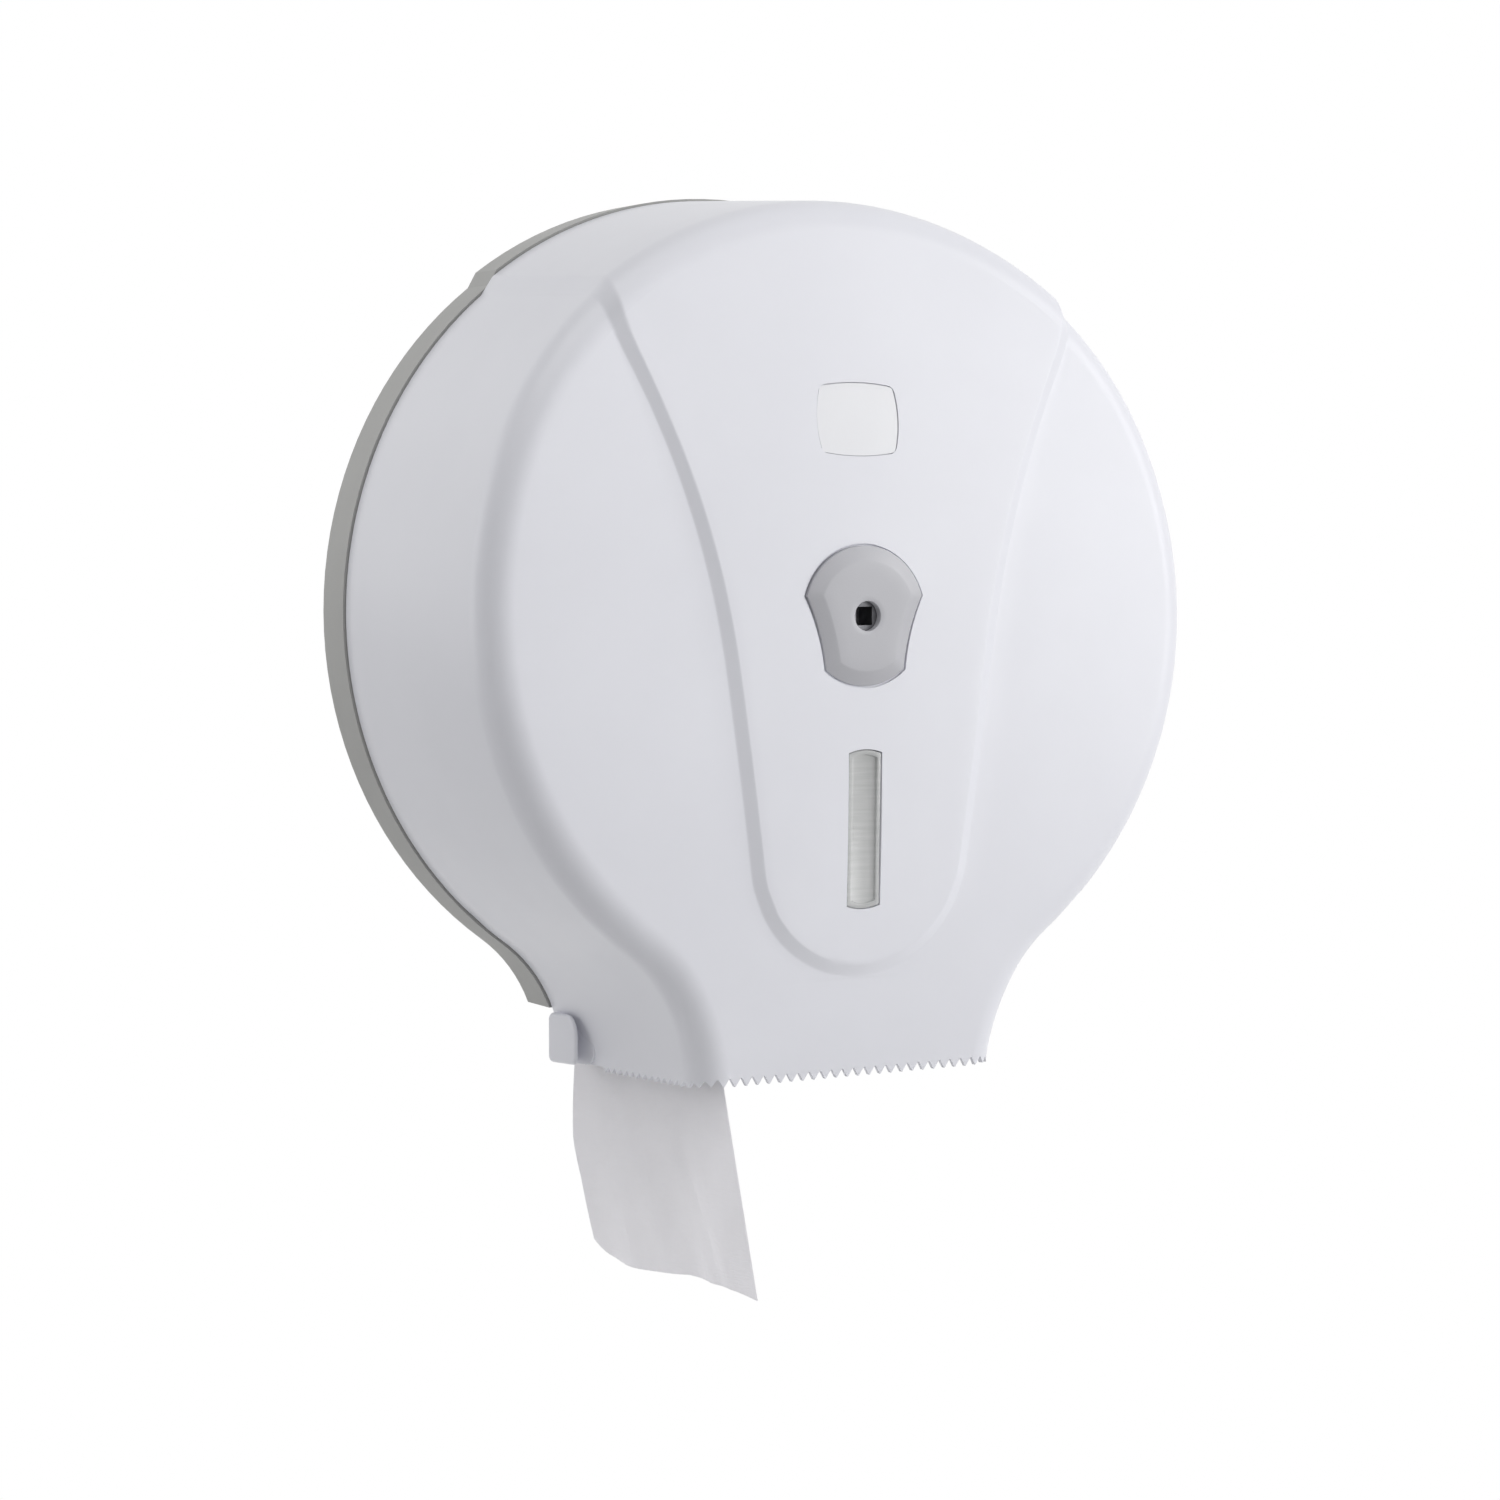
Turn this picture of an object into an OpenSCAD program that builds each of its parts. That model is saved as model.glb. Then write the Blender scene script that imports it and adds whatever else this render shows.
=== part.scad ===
// Wall-mounted dispenser for one jumbo toilet roll.
// Everything is drawn in a wall frame: x to the right, y up and z out of the wall, with the
// origin on the wall, on the spindle's axis. from_wall() turns it to +Z up and the front to -Y.

/* [Cover] */
// Radius of the round cover at its rear edge
drum_r = 137.2; // [130:0.1:144]
// Thickness of the moulded walls
wall_t = 2.5; // [2:0.1:3]
// Draft of the cover's side wall, in degrees
draft = 2.85; // [1:0.05:3.5]
// Depth of the cover's front at the top of its crown
front_depth = 116; // [114:0.5:124]
// Radius of the round edge between side wall and front
edge_r = 11.6; // [8:0.2:14]
// Crown radius of the front, up and down
crown_r = 1080; // [900:20:1600]
// Crown radius of the front, across
cross_r = 3300; // [2500:100:6000]
// How far the crown's top lies below the spindle
crown_drop = 42; // [20:1:60]

/* [Neck] */
// Width of the neck at the paper outlet
neck_w = 118.6; // [112:0.2:128]
// How far below the spindle the neck's sides turn upright
neck_drop = 153; // [148:1:160]
// How far below the spindle the cover's lower rim meets the wall plane
lip_drop = 156; // [152:0.5:160]
// Rise of the cover's lower rim towards the front, in mm per mm
lip_slope = 0.08; // [0.04:0.01:0.12]

/* [Raised tongue] */
// Height of the tongue above the front
tongue_h = 2; // [1:0.1:3]
// Lift of the tongue above the round outline at the top
tongue_lift = 3; // [2:0.1:4]
// Half width of the tongue where it crosses the top
tongue_w = 86; // [80:1:92]
// Radius of the tongue's round lower end
tongue_r = 36.6; // [32:0.2:42]
// How far below the spindle the centre of that round end lies
tongue_drop = 75.5; // [70:0.5:80]
// Lean of the tongue's sides above the round end, in degrees
tongue_lean = 8.1; // [6:0.1:10]
// Radius of the tongue's flaring sides
flare_r = 300; // [260:5:360]
// Width of the ramp between tongue and front
ramp_w = 4.8; // [3:0.2:6]

/* [Back plate] */
// Depth of the back plate's rim
rim_depth = 16.5; // [14:0.5:18]
// How far the rim stands proud of the cover
rim_proud = 0.8; // [0.5:0.1:2]
// Thickness of the back plate's floor
floor_t = 2.5; // [2:0.1:3]
// How far below the spindle the back plate ends
plate_drop = 134.4; // [130:0.2:136]
// Gap between the rim and the cover's rear edge
seam = 0.4; // [0.3:0.1:0.8]
// Spacing of the wall screws across
screw_dx = 120; // [100:2:136]
// Spacing of the wall screws up and down
screw_dy = 110; // [90:2:124]
// Diameter of the wall screw holes
screw_hole_d = 5.5; // [4.5:0.1:6.5]
// Height of the ribs above the floor
rib_h = 3.5; // [2:0.5:4]

/* [Hinge] */
// Distance of the hinge axis from the wall
hinge_z = 27; // [26:0.5:29]
// How far below the spindle the hinge axis lies
hinge_drop = 145; // [144:0.5:147]
// Diameter of the hinge pins
pin_d = 5; // [4:0.1:6]
// Thickness of the hinge ears
ear_t = 2.8; // [2.4:0.1:3]
// How far the hinge blocks stand proud of the neck
block_proud = 5.4; // [4.5:0.1:7]

/* [Spindle and roll] */
// Radius of the fixed spindle post
post_r = 14.5; // [13.5:0.1:16]
// How far the post's front end lies behind the paper's front edge
post_set_back = 2.4; // [1.5:0.1:4]
// Wall of the post
post_wall = 2.5; // [2:0.1:3]
// Bore radius of the cardboard core
core_r = 29; // [26:0.5:34]
// Thickness of the cardboard core
core_t = 1.5; // [1:0.1:2]
// Radius of the paper roll
roll_r = 104; // [80:1:106]
// Gap between the roll and the inside of the cover's front, at the front's crown
roll_front_gap = 9.6; // [9:0.1:14]
// Distance of the paper's rear edge from the wall
paper_z = 10.9; // [10.7:0.1:11.2]
// Thickness that the hanging paper is drawn with
sheet_t = 0.5; // [0.3:0.1:0.8]
// Length of paper that hangs below the neck's narrowest height
tail_len = 66; // [40:1:80]

/* [Lock] */
// Radius of the lock shield
shield_r = 22.5; // [21:0.1:24]
// Width of the shield's bevel
bevel_w = 4.8; // [3:0.1:5.5]
// Height of the shield's bevel
bevel_h = 1.7; // [1:0.1:2.2]
// Radius of the key hole in the shield
keyhole_r = 4.8; // [4.5:0.1:5.2]
// Side of the square key socket
socket_w = 6; // [5:0.1:6.4]
// Radius of the lock barrel
barrel_r = 6; // [5.6:0.1:6.6]
// Length of the lock's tongue
bolt_len = 20; // [17:0.5:21]
// Width of the lock's tongue
bolt_w = 7; // [6:0.1:7.2]

/* [Window and badge] */
// Width of the level window
window_w = 12.2; // [10:0.2:14]
// Height of the level window at its corners
window_h = 49.2; // [40:0.2:54]
// How far below the spindle the window's middle lies
window_drop = 68.7; // [66:0.1:72]
// Width of the badge recess
badge_w = 27; // [22:0.5:32]
// Height of the badge recess
badge_h = 21; // [18:0.5:26]
// How far above the spindle the badge's middle lies
badge_rise = 63; // [58:0.5:68]
// Depth of the badge recess
badge_d = 1.1; // [0.8:0.1:1.4]

/* [Tear edge] */
// Pitch of the tear teeth
tooth_pitch = 4.15; // [3:0.05:5]
// Depth of the tear teeth
tooth_d = 2.9; // [1.5:0.1:3.5]
// Thickness of the tear teeth
tooth_t = 1.5; // [1:0.1:1.8]

/* [Hidden] */
$fn = 96;

white = [0.93, 0.93, 0.95];
grey = [0.66, 0.66, 0.65];
shield_grey = [0.72, 0.72, 0.75];
paper_white = [0.96, 0.96, 0.95];
card_brown = [0.72, 0.6, 0.45];
steel = [0.7, 0.7, 0.72];
dark = [0.2, 0.2, 0.22];

// Clearances
run_gap = 0.06;     // running fit of a round bore on its shaft, on the radius
fit_gap = 0.05;     // fixed round fit, on the radius
seat_gap = 0.3;     // pieces that seat or pass close by
eps = 0.01;

// Neck arcs: centred outside the neck and tangent to the drum
neck_half = neck_w / 2;
neck_arc_r = (neck_half * neck_half + neck_drop * neck_drop - drum_r * drum_r)
    / (2 * (drum_r - neck_half));
neck_cx = neck_half + neck_arc_r;
tangent_a = atan2(neck_drop, neck_cx);

// Cover section
cover_z = rim_depth + seam;
wall_lean = tan(draft);
edge_inset = (front_depth - edge_r - cover_z) * wall_lean + edge_r;

// The roll fills the depth between plate and front, and the post ends just short of it
paper_w = front_depth - wall_t - roll_front_gap - paper_z;
post_depth = paper_z + paper_w - post_set_back;

// The two triangles of a four-sided face
function quad(a, b, c, d) = [[a, b, c], [a, c, d]];

module from_wall() {
    rotate([90, 0, 0]) children();
}

module mirrored() {
    children();
    mirror([1, 0, 0]) children();
}

// Rectangle with round corners, centred, all of it true arcs
module round_rect(w, h, r) {
    square([w - 2 * r, h], center = true);
    square([w, h - 2 * r], center = true);
    for (x = [-1, 1], y = [-1, 1])
        translate([x * (w / 2 - r), y * (h / 2 - r)]) circle(r = r, $fn = 32);
}

// ---- Outline of drum and neck, as true arcs ----
module drum_outline(grow, drop) {
    r = drum_r + grow;
    half = r * cos(tangent_a);
    circle(r = r, $fn = 180);
    difference() {
        translate([-half, -drop]) square([2 * half, drop]);
        for (s = [-1, 1])
            translate([s * neck_cx, -neck_drop]) circle(r = neck_arc_r - grow, $fn = 120);
    }
}

// The part of the outline that the tongue lifts where it crosses the top
module lifted_outline(grow) {
    r = drum_r + grow;
    y0 = sqrt(drum_r * drum_r - tongue_w * tongue_w);
    lean = 0.56;
    low = 60;
    high = 50;
    intersection() {
        translate([0, tongue_lift]) circle(r = r, $fn = 180);
        polygon([[-tongue_w - lean * low, y0 - low], [tongue_w + lean * low, y0 - low],
            [tongue_w - lean * high, y0 + high], [-tongue_w + lean * high, y0 + high]]);
    }
}

module plate_outline(grow) {
    drum_outline(grow, plate_drop);
    lifted_outline(grow);
}

// ---- Back plate ----
boss_r = 32;
boss_h = 1.2;
boss_z = floor_t + boss_h;
pad_r = 9;
pad_z = floor_t + 3;
ring_rib_r = 62;
rib_t = 2;
outer_ring_r = 108;
spindle_screw_ring = 23;
spindle_pilot_r = 1.6;
locating_gap = 0.8;
locating_h = 3.4;
ear_gap = 1.4;
ear_r = 8;
ear_x = neck_half - wall_t - ear_gap;
ear_root = paper_z - 0.9;

module screw_places() {
    for (x = [-1, 1], y = [-1, 1])
        translate([x * screw_dx / 2, y * screw_dy / 2]) children();
}

module spindle_screw_places() {
    for (a = [45:90:315])
        rotate(a) translate([spindle_screw_ring, 0]) children();
}

module hinge_ears() {
    mirrored()
        translate([-ear_x, 0, 0]) rotate([0, -90, 0]) mirror([0, 0, 1])
            linear_extrude(ear_t)
                difference() {
                    union() {
                        translate([hinge_z, -hinge_drop]) circle(r = ear_r);
                        polygon([[0, -plate_drop + 26], [ear_root, -plate_drop + 22],
                            [ear_root, -plate_drop + 12],
                            [hinge_z + ear_r * 0.62, -hinge_drop + ear_r * 0.78],
                            [hinge_z - ear_r, -hinge_drop], [rim_depth, -plate_drop],
                            [0, -plate_drop]]);
                    }
                    translate([hinge_z, -hinge_drop]) circle(r = pin_d / 2 + run_gap);
                }
}

module plate_ribs() {
    linear_extrude(floor_t + rib_h)
        intersection() {
            plate_outline(rim_proud - wall_t / 2);
            union() {
                for (a = [0:45:315])
                    rotate(a) translate([boss_r - 1, -rib_t / 2]) square([2 * drum_r, rib_t]);
                for (r = [ring_rib_r, outer_ring_r])
                    difference() {
                        circle(r = r + rib_t / 2);
                        circle(r = r - rib_t / 2);
                    }
            }
        }
}

module locating_lip() {
    lip_r = drum_r - wall_t - locating_gap;
    translate([0, 0, rim_depth - 2])
        linear_extrude(locating_h + 2)
            intersection() {
                difference() {
                    circle(r = lip_r, $fn = 180);
                    circle(r = lip_r - 1.8, $fn = 180);
                }
                translate([-drum_r, -90]) square([2 * drum_r, 3 * drum_r]);
            }
}

module back_plate() {
    color(grey) from_wall()
        difference() {
            union() {
                linear_extrude(floor_t) plate_outline(rim_proud);
                linear_extrude(rim_depth)
                    difference() {
                        plate_outline(rim_proud);
                        intersection() {
                            plate_outline(rim_proud - wall_t);
                            translate([-drum_r, -plate_drop]) square([2 * drum_r, 3 * drum_r]);
                        }
                    }
                translate([0, 0, rim_depth - 2])
                    linear_extrude(2)
                        difference() {
                            circle(r = drum_r, $fn = 180);
                            circle(r = drum_r - wall_t - locating_gap - 1.8, $fn = 180);
                            translate([-drum_r, -90 - drum_r]) square([2 * drum_r, drum_r]);
                        }
                locating_lip();
                plate_ribs();
                cylinder(r = boss_r, h = boss_z);
                screw_places() cylinder(r = pad_r, h = pad_z);
                hinge_ears();
            }
            translate([0, 0, -1])
                screw_places() cylinder(d = screw_hole_d, h = pad_z + 2);
            translate([0, 0, 0.8])
                spindle_screw_places() cylinder(r = spindle_pilot_r, h = boss_z, $fn = 32);
        }
}

// ---- Spindle ----
flange_r = 29;
flange_t = 3;
flange_z = boss_z + flange_t;
screw_head_r = 3.2;
screw_head_h = 1.8;
post_end_t = 3;
slot_w = bolt_w + 1.4;
slot_top = bolt_len / 2 + 0.8;
slot_run = 4;
bolt_t = 3;
bolt_z = post_depth - post_end_t - 1.2 - bolt_t;
groove_d = 0.7;
clip_z = paper_z + paper_w - 10;
clip_t = 1.8;
clip_r = 19;

module spindle_post() {
    color(grey) from_wall()
        difference() {
            union() {
                translate([0, 0, boss_z]) cylinder(r = flange_r, h = flange_t);
                translate([0, 0, boss_z]) cylinder(r = post_r, h = post_depth - boss_z);
            }
            translate([0, 0, boss_z - 1])
                cylinder(r = post_r - post_wall, h = post_depth - post_end_t - boss_z + 1);
            // Slot that the lock's tongue passes through
            translate([-slot_w / 2, 0, post_depth - post_end_t - 1])
                cube([slot_w, slot_top, post_end_t + 2]);
            // Below, the slot opens through the post's wall for the cover's swing
            translate([-slot_w / 2, -post_r - 1, bolt_z - slot_run])
                cube([slot_w, post_r + 1.01, post_depth]);
            // Groove of the clip
            translate([0, 0, clip_z])
                difference() {
                    cylinder(r = post_r + 1, h = clip_t + 0.1);
                    translate([0, 0, -1]) cylinder(r = post_r - groove_d, h = clip_t + 2);
                }
            translate([0, 0, boss_z - 1])
                spindle_screw_places() cylinder(r = spindle_pilot_r + 0.2, h = flange_t + 2, $fn = 32);
        }
}

module spindle_screws() {
    color(steel) from_wall()
        spindle_screw_places()
            difference() {
                union() {
                    translate([0, 0, 1])
                        cylinder(r = spindle_pilot_r - fit_gap, h = flange_z - 1, $fn = 32);
                    translate([0, 0, flange_z]) cylinder(r = screw_head_r, h = screw_head_h, $fn = 32);
                }
                for (a = [0, 90])
                    rotate(a) translate([-2, -0.4, flange_z + screw_head_h - 0.9]) cube([4, 0.8, 2]);
            }
}

module hub_clip() {
    color(steel) from_wall()
        translate([0, 0, clip_z + 0.05])
            linear_extrude(clip_t)
                difference() {
                    union() {
                        circle(r = clip_r);
                        for (s = [-1, 1]) translate([s * 5, -clip_r + 1]) circle(r = 2.6, $fn = 32);
                    }
                    circle(r = post_r - groove_d + fit_gap);
                    translate([-2.6, -clip_r - 6]) square([5.2, clip_r + 2]);
                }
}

// ---- Rotating hub, core and roll ----
hub_z = flange_z + screw_head_h + 0.4;
hub_tube_t = 3;
hub_flange_r = 40;
hub_flange_t = paper_z - hub_z - 0.1;
fin_count = 6;
fin_t = 2.4;
bearing_len = 14;

module spindle_hub() {
    hub_end = clip_z - 0.3;
    inner = post_r + run_gap;
    outer = post_r + hub_tube_t;
    color(white) from_wall()
        difference() {
            union() {
                translate([0, 0, hub_z]) cylinder(r = hub_flange_r, h = hub_flange_t);
                translate([0, 0, hub_z]) cylinder(r = outer, h = hub_end - hub_z);
                for (i = [0:fin_count - 1])
                    rotate(i * 360 / fin_count + 15)
                        translate([outer - 1, -fin_t / 2, hub_z])
                            cube([core_r - seat_gap - outer + 1, fin_t, hub_end - hub_z - 4]);
            }
            translate([0, 0, hub_z - 1]) cylinder(r = inner, h = hub_end - hub_z + 2);
            translate([0, 0, hub_z + bearing_len])
                cylinder(r = inner + 0.9, h = hub_end - hub_z - 2 * bearing_len);
        }
}

module core_tube() {
    color(card_brown) from_wall()
        translate([0, 0, paper_z])
            difference() {
                cylinder(r = core_r + core_t, h = paper_w);
                translate([0, 0, -1]) cylinder(r = core_r, h = paper_w + 2);
            }
}

module paper_roll() {
    color(paper_white) from_wall()
        translate([0, 0, paper_z])
            difference() {
                cylinder(r = roll_r, h = paper_w, $fn = 180);
                translate([0, 0, -1]) cylinder(r = core_r + core_t + 0.1, h = paper_w + 2);
            }
}

// ---- Hanging paper ----
// The sheet leaves the roll on a tangent, bends down past the hinge ear and hangs.
web_r = roll_r + seat_gap + sheet_t;
web_skew = 2.9;     // sideways lean of the sheet, half of it at each edge
web_x = ear_x - ear_t - 4.4;
bend_r = 34;
bend_drop = plate_drop - 3;
bend_dist = norm([web_x + bend_r, bend_drop]);
bend_a = atan2(bend_drop, web_x + bend_r) - acos((web_r + bend_r) / bend_dist);
bend_steps = 4;
tail_steps = 8;
tail_cols = 6;

// Line of the sheet's middle, from the roll to where it hangs
function web_line() = concat(
    [[-web_r * cos(bend_a), -web_r * sin(bend_a)]],
    [for (i = [0:bend_steps]) let (a = bend_a * (1 - i / bend_steps))
        [-web_x - bend_r + bend_r * cos(a), -bend_drop + bend_r * sin(a)]]);

// A point of the hanging part, at share u of the width from the rear and share s of the
// length. The rear edge bows out before it curls in, and the front edge curls in from the top.
function hang_point(u, s) =
    let (free = max(0, s - hang_free) / (1 - hang_free))
    [-web_x + web_skew * (2 * u - 1) + (1 - u) * (15 * pow(free, 3) - 6 * free) + u * 13 * pow(free, 1.3),
        -bend_drop - s * (neck_drop + tail_len - bend_drop - 3.5 * u * u + 1.5 * sin(180 * u)),
        paper_z + paper_w * u + 3 * u * free * free];

// Share of the hanging part that the neck still covers
hang_free = (neck_drop - bend_drop) / (neck_drop + tail_len - bend_drop);

function sheet_row(u) = let (line = web_line(), n = len(line)) concat(
    [for (i = [0:n - 1])
        [line[i][0] + web_skew * (2 * u - 1) * i / (n - 1), line[i][1], paper_z + paper_w * u]],
    [for (k = [1:tail_steps]) hang_point(u, k / tail_steps)]);

module paper_tail() {
    rows = [for (c = [0:tail_cols]) sheet_row(c / tail_cols)];
    m = len(rows[0]);
    n = tail_cols + 1;
    sides = [for (t = [0, sheet_t]) each [for (row = rows) each [for (p = row) [p[0] + t, p[1], p[2]]]]];
    function at(t, c, k) = (t * n + c) * m + k;
    faces = concat(
        [for (c = [0:n - 2], k = [0:m - 2])
            each quad(at(0, c, k), at(0, c, k + 1), at(0, c + 1, k + 1), at(0, c + 1, k))],
        [for (c = [0:n - 2], k = [0:m - 2])
            each quad(at(1, c, k), at(1, c + 1, k), at(1, c + 1, k + 1), at(1, c, k + 1))],
        [for (c = [0:n - 2]) each quad(at(0, c, 0), at(0, c + 1, 0), at(1, c + 1, 0), at(1, c, 0))],
        [for (c = [0:n - 2])
            each quad(at(0, c, m - 1), at(1, c, m - 1), at(1, c + 1, m - 1), at(0, c + 1, m - 1))],
        [for (k = [0:m - 2]) each quad(at(0, 0, k), at(1, 0, k), at(1, 0, k + 1), at(0, 0, k + 1))],
        [for (k = [0:m - 2])
            each quad(at(0, n - 1, k), at(0, n - 1, k + 1), at(1, n - 1, k + 1), at(1, n - 1, k))]);
    color(paper_white) from_wall() polyhedron(points = sides, faces = faces, convexity = 4);
}

// ---- Cover shell ----
// Depth of the front before the tongue is added
function front_z(x, y) = front_depth - pow(y + crown_drop, 2) / (2 * crown_r) - x * x / (2 * cross_r);

// Half width of the tongue at height y, grown by g; negative below the tongue
lean_y0 = -tongue_drop - tongue_r * sin(tongue_lean);
lean_x0 = tongue_r * cos(tongue_lean);
lean_len = 67;
flare_y0 = lean_y0 + lean_len * cos(tongue_lean);
flare_x0 = lean_x0 + lean_len * sin(tongue_lean);
flare_cx = flare_x0 + flare_r * cos(tongue_lean);
flare_cy = flare_y0 - flare_r * sin(tongue_lean);

function tongue_half(y, g) =
    y < -tongue_drop - tongue_r - g ? -1 :
    y < lean_y0 ? sqrt(max(0, pow(tongue_r + g, 2) - pow(y + tongue_drop, 2))) :
    y < flare_y0 ? lean_x0 + g + (y - lean_y0) * tan(tongue_lean) :
    min(tongue_w - ramp_w / 2 + g, flare_cx - sqrt(pow(flare_r - g, 2) - pow(y - flare_cy, 2)));

// Share of the tongue's height at a point of the front: 1 on it, 0 off it
function tongue_share(x, y) =
    let (r = norm([x, y + tongue_drop]))
    y < lean_y0 ? max(0, min(1, (tongue_r + ramp_w - r) / ramp_w)) :
    max(0, min(1, (tongue_half(y, ramp_w) - abs(x)) / ramp_w));

// The tongue lifts the front outwards, less so near the rear edge, and the top upwards
lift_from = 60;
lift_run = 40;
rise_run = 60;

function lifted(p) =
    let (s = tongue_share(p[0], p[1]), up = max(0, min(1, (p[1] - lift_from) / lift_run)),
        out = max(0, min(1, (p[2] - cover_z) / rise_run)))
    [p[0], p[1] + s * tongue_lift * up, p[2] + s * tongue_h * out];

// Rows run from the lower rim up to the apex. A row is [kind, angle]: kind 0 is the lower
// rim, 1 a row on the neck's arc, 2 a row on the drum.
neck_rows = [172, 166, 160, 155, 151.5, 149, 146, 143, 139, 133, 127.5];
drum_low_rows = [-52, -46, -40, -34, -27, -20, -12, -4, 4, 12, 20, 28, 35];
drum_high_rows = [40, 43.5, 46, 48, 49.6, 51.4, 54, 58, 63, 69, 75, 81, 86.5];
rows = concat([[0, 180]], [for (a = neck_rows) [1, a]],
    [for (a = concat(drum_low_rows, drum_high_rows)) [2, a]]);

// Half width of the lower rim at height y, which may lie above the neck's narrowest height
function rim_x(y, o) =
    y < -neck_drop ? neck_half - o : neck_cx - sqrt(pow(neck_arc_r + o, 2) - pow(y + neck_drop, 2));

// Right half of the outline of a row, moved in by o, at depth z
function row_point(row, o, z) =
    row[0] == 0 ? let (y = -lip_drop + lip_slope * z) [rim_x(y, o), y] :
    row[0] == 1 ? [neck_cx + (neck_arc_r + o) * cos(row[1]), -neck_drop + (neck_arc_r + o) * sin(row[1])] :
    [(drum_r - o) * cos(row[1]), (drum_r - o) * sin(row[1])];

edge_angles = [draft, 20, 38, 56, 74, 90];
// Columns of a half row up to the end of its round edge
edge_cols = 2 + len(edge_angles);

// Right half section of a row, from the rear edge round the edge to the front's middle, for
// the skin that lies t inside the outer one
function half_row(row, t) =
    let (
        mid = row_point(row, edge_inset, front_depth - 4),
        zc = front_z(mid[0], mid[1]) - edge_r,
        oc = (zc - cover_z) * wall_lean + edge_r,
        r = edge_r - t,
        xe = row_point(row, oc, zc + r)[0],
        ye = row_point(row, oc, zc + r)[1],
        h1 = tongue_half(ye, ramp_w),
        h0 = tongue_half(ye, 0),
        x1 = min(xe * 0.96, h1 > 0 ? h1 : xe * 0.6),
        x0 = min(x1 * 0.93, h0 > 0 ? h0 : xe * 0.3),
        xs = [xe * 0.5 + x1 * 0.5, x1, x0, x0 * 0.5]
    )
    concat(
        [for (q = [0, 0.5]) let (z = cover_z + q * (zc - cover_z),
            p = row_point(row, t + (z - cover_z) * wall_lean, z)) [p[0], p[1], z]],
        [for (a = edge_angles) let (z = zc + r * sin(a), p = row_point(row, oc - r * cos(a), z))
            [p[0], p[1], z]],
        [for (x = xs) [x, row[0] == 0 ? -lip_drop + lip_slope * front_z(x, ye) : ye, front_z(x, ye) - t]]);

function middle_point(row, t) =
    let (p = row_point(row, edge_inset, front_depth - 4), z = front_z(0, p[1]) - t,
        y = row[0] == 0 ? -lip_drop + lip_slope * front_z(0, p[1]) : row_point(row,
            (front_z(p[0], p[1]) - edge_r - cover_z) * wall_lean + edge_r, z)[1])
    [0, y, z];

function reversed(v) = [for (i = [len(v) - 1:-1:0]) v[i]];
function flipped(v) = [for (p = v) [-p[0], p[1], p[2]]];

// Full section from the left rear edge to the right one
function full_row(row, t) =
    let (h = [for (p = half_row(row, t)) lifted(p)], m = lifted(middle_point(row, t)))
    concat(flipped(h), [m], reversed(h));

module cover_shell() {
    skins = [for (t = [0, wall_t]) [for (row = rows) full_row(row, t)]];
    n = len(rows);
    m = len(skins[0][0]);
    mid = (m - 1) / 2;
    edge = edge_cols - 1;
    top = n - 1;
    function at(s, i, j) = (s * n + i) * m + j;
    // Faces of one skin, seen from outside the drum
    function skin(s) = concat(
        [for (i = [0:top - 2], j = [0:m - 2])
            each quad(at(s, i, j), at(s, i + 1, j), at(s, i + 1, j + 1), at(s, i, j + 1))],
        [for (j = [0:edge - 1], k = [j, m - 2 - j])
            each quad(at(s, top - 1, k), at(s, top, k), at(s, top, k + 1), at(s, top - 1, k + 1))],
        // The front closes on the top row's edge, and the two halves meet across the middle
        [for (j = [edge:mid - 1]) [at(s, top - 1, j), at(s, top, edge), at(s, top - 1, j + 1)]],
        [for (j = [mid:m - 2 - edge]) [at(s, top - 1, j), at(s, top, m - 1 - edge), at(s, top - 1, j + 1)]],
        [[at(s, top - 1, mid), at(s, top, edge), at(s, top, m - 1 - edge)]],
        [for (j = [0:edge - 1])
            each quad(at(s, top, j), at(s, top, m - 1 - j), at(s, top, m - 2 - j), at(s, top, j + 1))]);
    faces = concat(
        skin(0),
        [for (f = skin(1)) reversed(f)],
        // Lower rim
        [for (j = [0:m - 2]) each quad(at(0, 0, j), at(0, 0, j + 1), at(1, 0, j + 1), at(1, 0, j))],
        // Rear rim
        [for (i = [0:top - 1]) each quad(at(0, i, 0), at(1, i, 0), at(1, i + 1, 0), at(0, i + 1, 0))],
        [for (i = [0:top - 1])
            each quad(at(0, i, m - 1), at(0, i + 1, m - 1), at(1, i + 1, m - 1), at(1, i, m - 1))],
        quad(at(0, top, 0), at(1, top, 0), at(1, top, m - 1), at(0, top, m - 1)));
    points = [for (skin = skins) each [for (row = skin) each row]];
    polyhedron(points = points, faces = faces, convexity = 8);
}

// Hinge block on the left side of the neck, with its leading side sloped
block_z0 = cover_z + 0.4;
block_len = 26.8;
block_h = 16.4;
block_top = -hinge_drop + 9.9;
block_x = neck_half + block_proud;
block_slope = 43;

module hinge_block() {
    difference() {
        translate([-block_x, 0, 0]) rotate([0, 90, 0])
            linear_extrude(block_proud + wall_t / 2)
                translate([-block_z0 - block_len / 2, block_top - block_h / 2])
                    round_rect(block_len, block_h, 3);
        translate([-block_x, block_top - block_h - 1, block_z0 + block_len - 4.9])
            rotate([0, -block_slope, 0]) translate([-6, 0, 0]) cube([block_proud + 12, block_h + 2, 12]);
    }
}

// ---- Serrated lower rim ----
tooth_inset = 0.4;
tooth_root = 2;
rim_overlap = 0.1;
teeth_from = block_z0 + block_len + 2;

function rim_y(z) = -lip_drop + lip_slope * z + rim_overlap;

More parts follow.
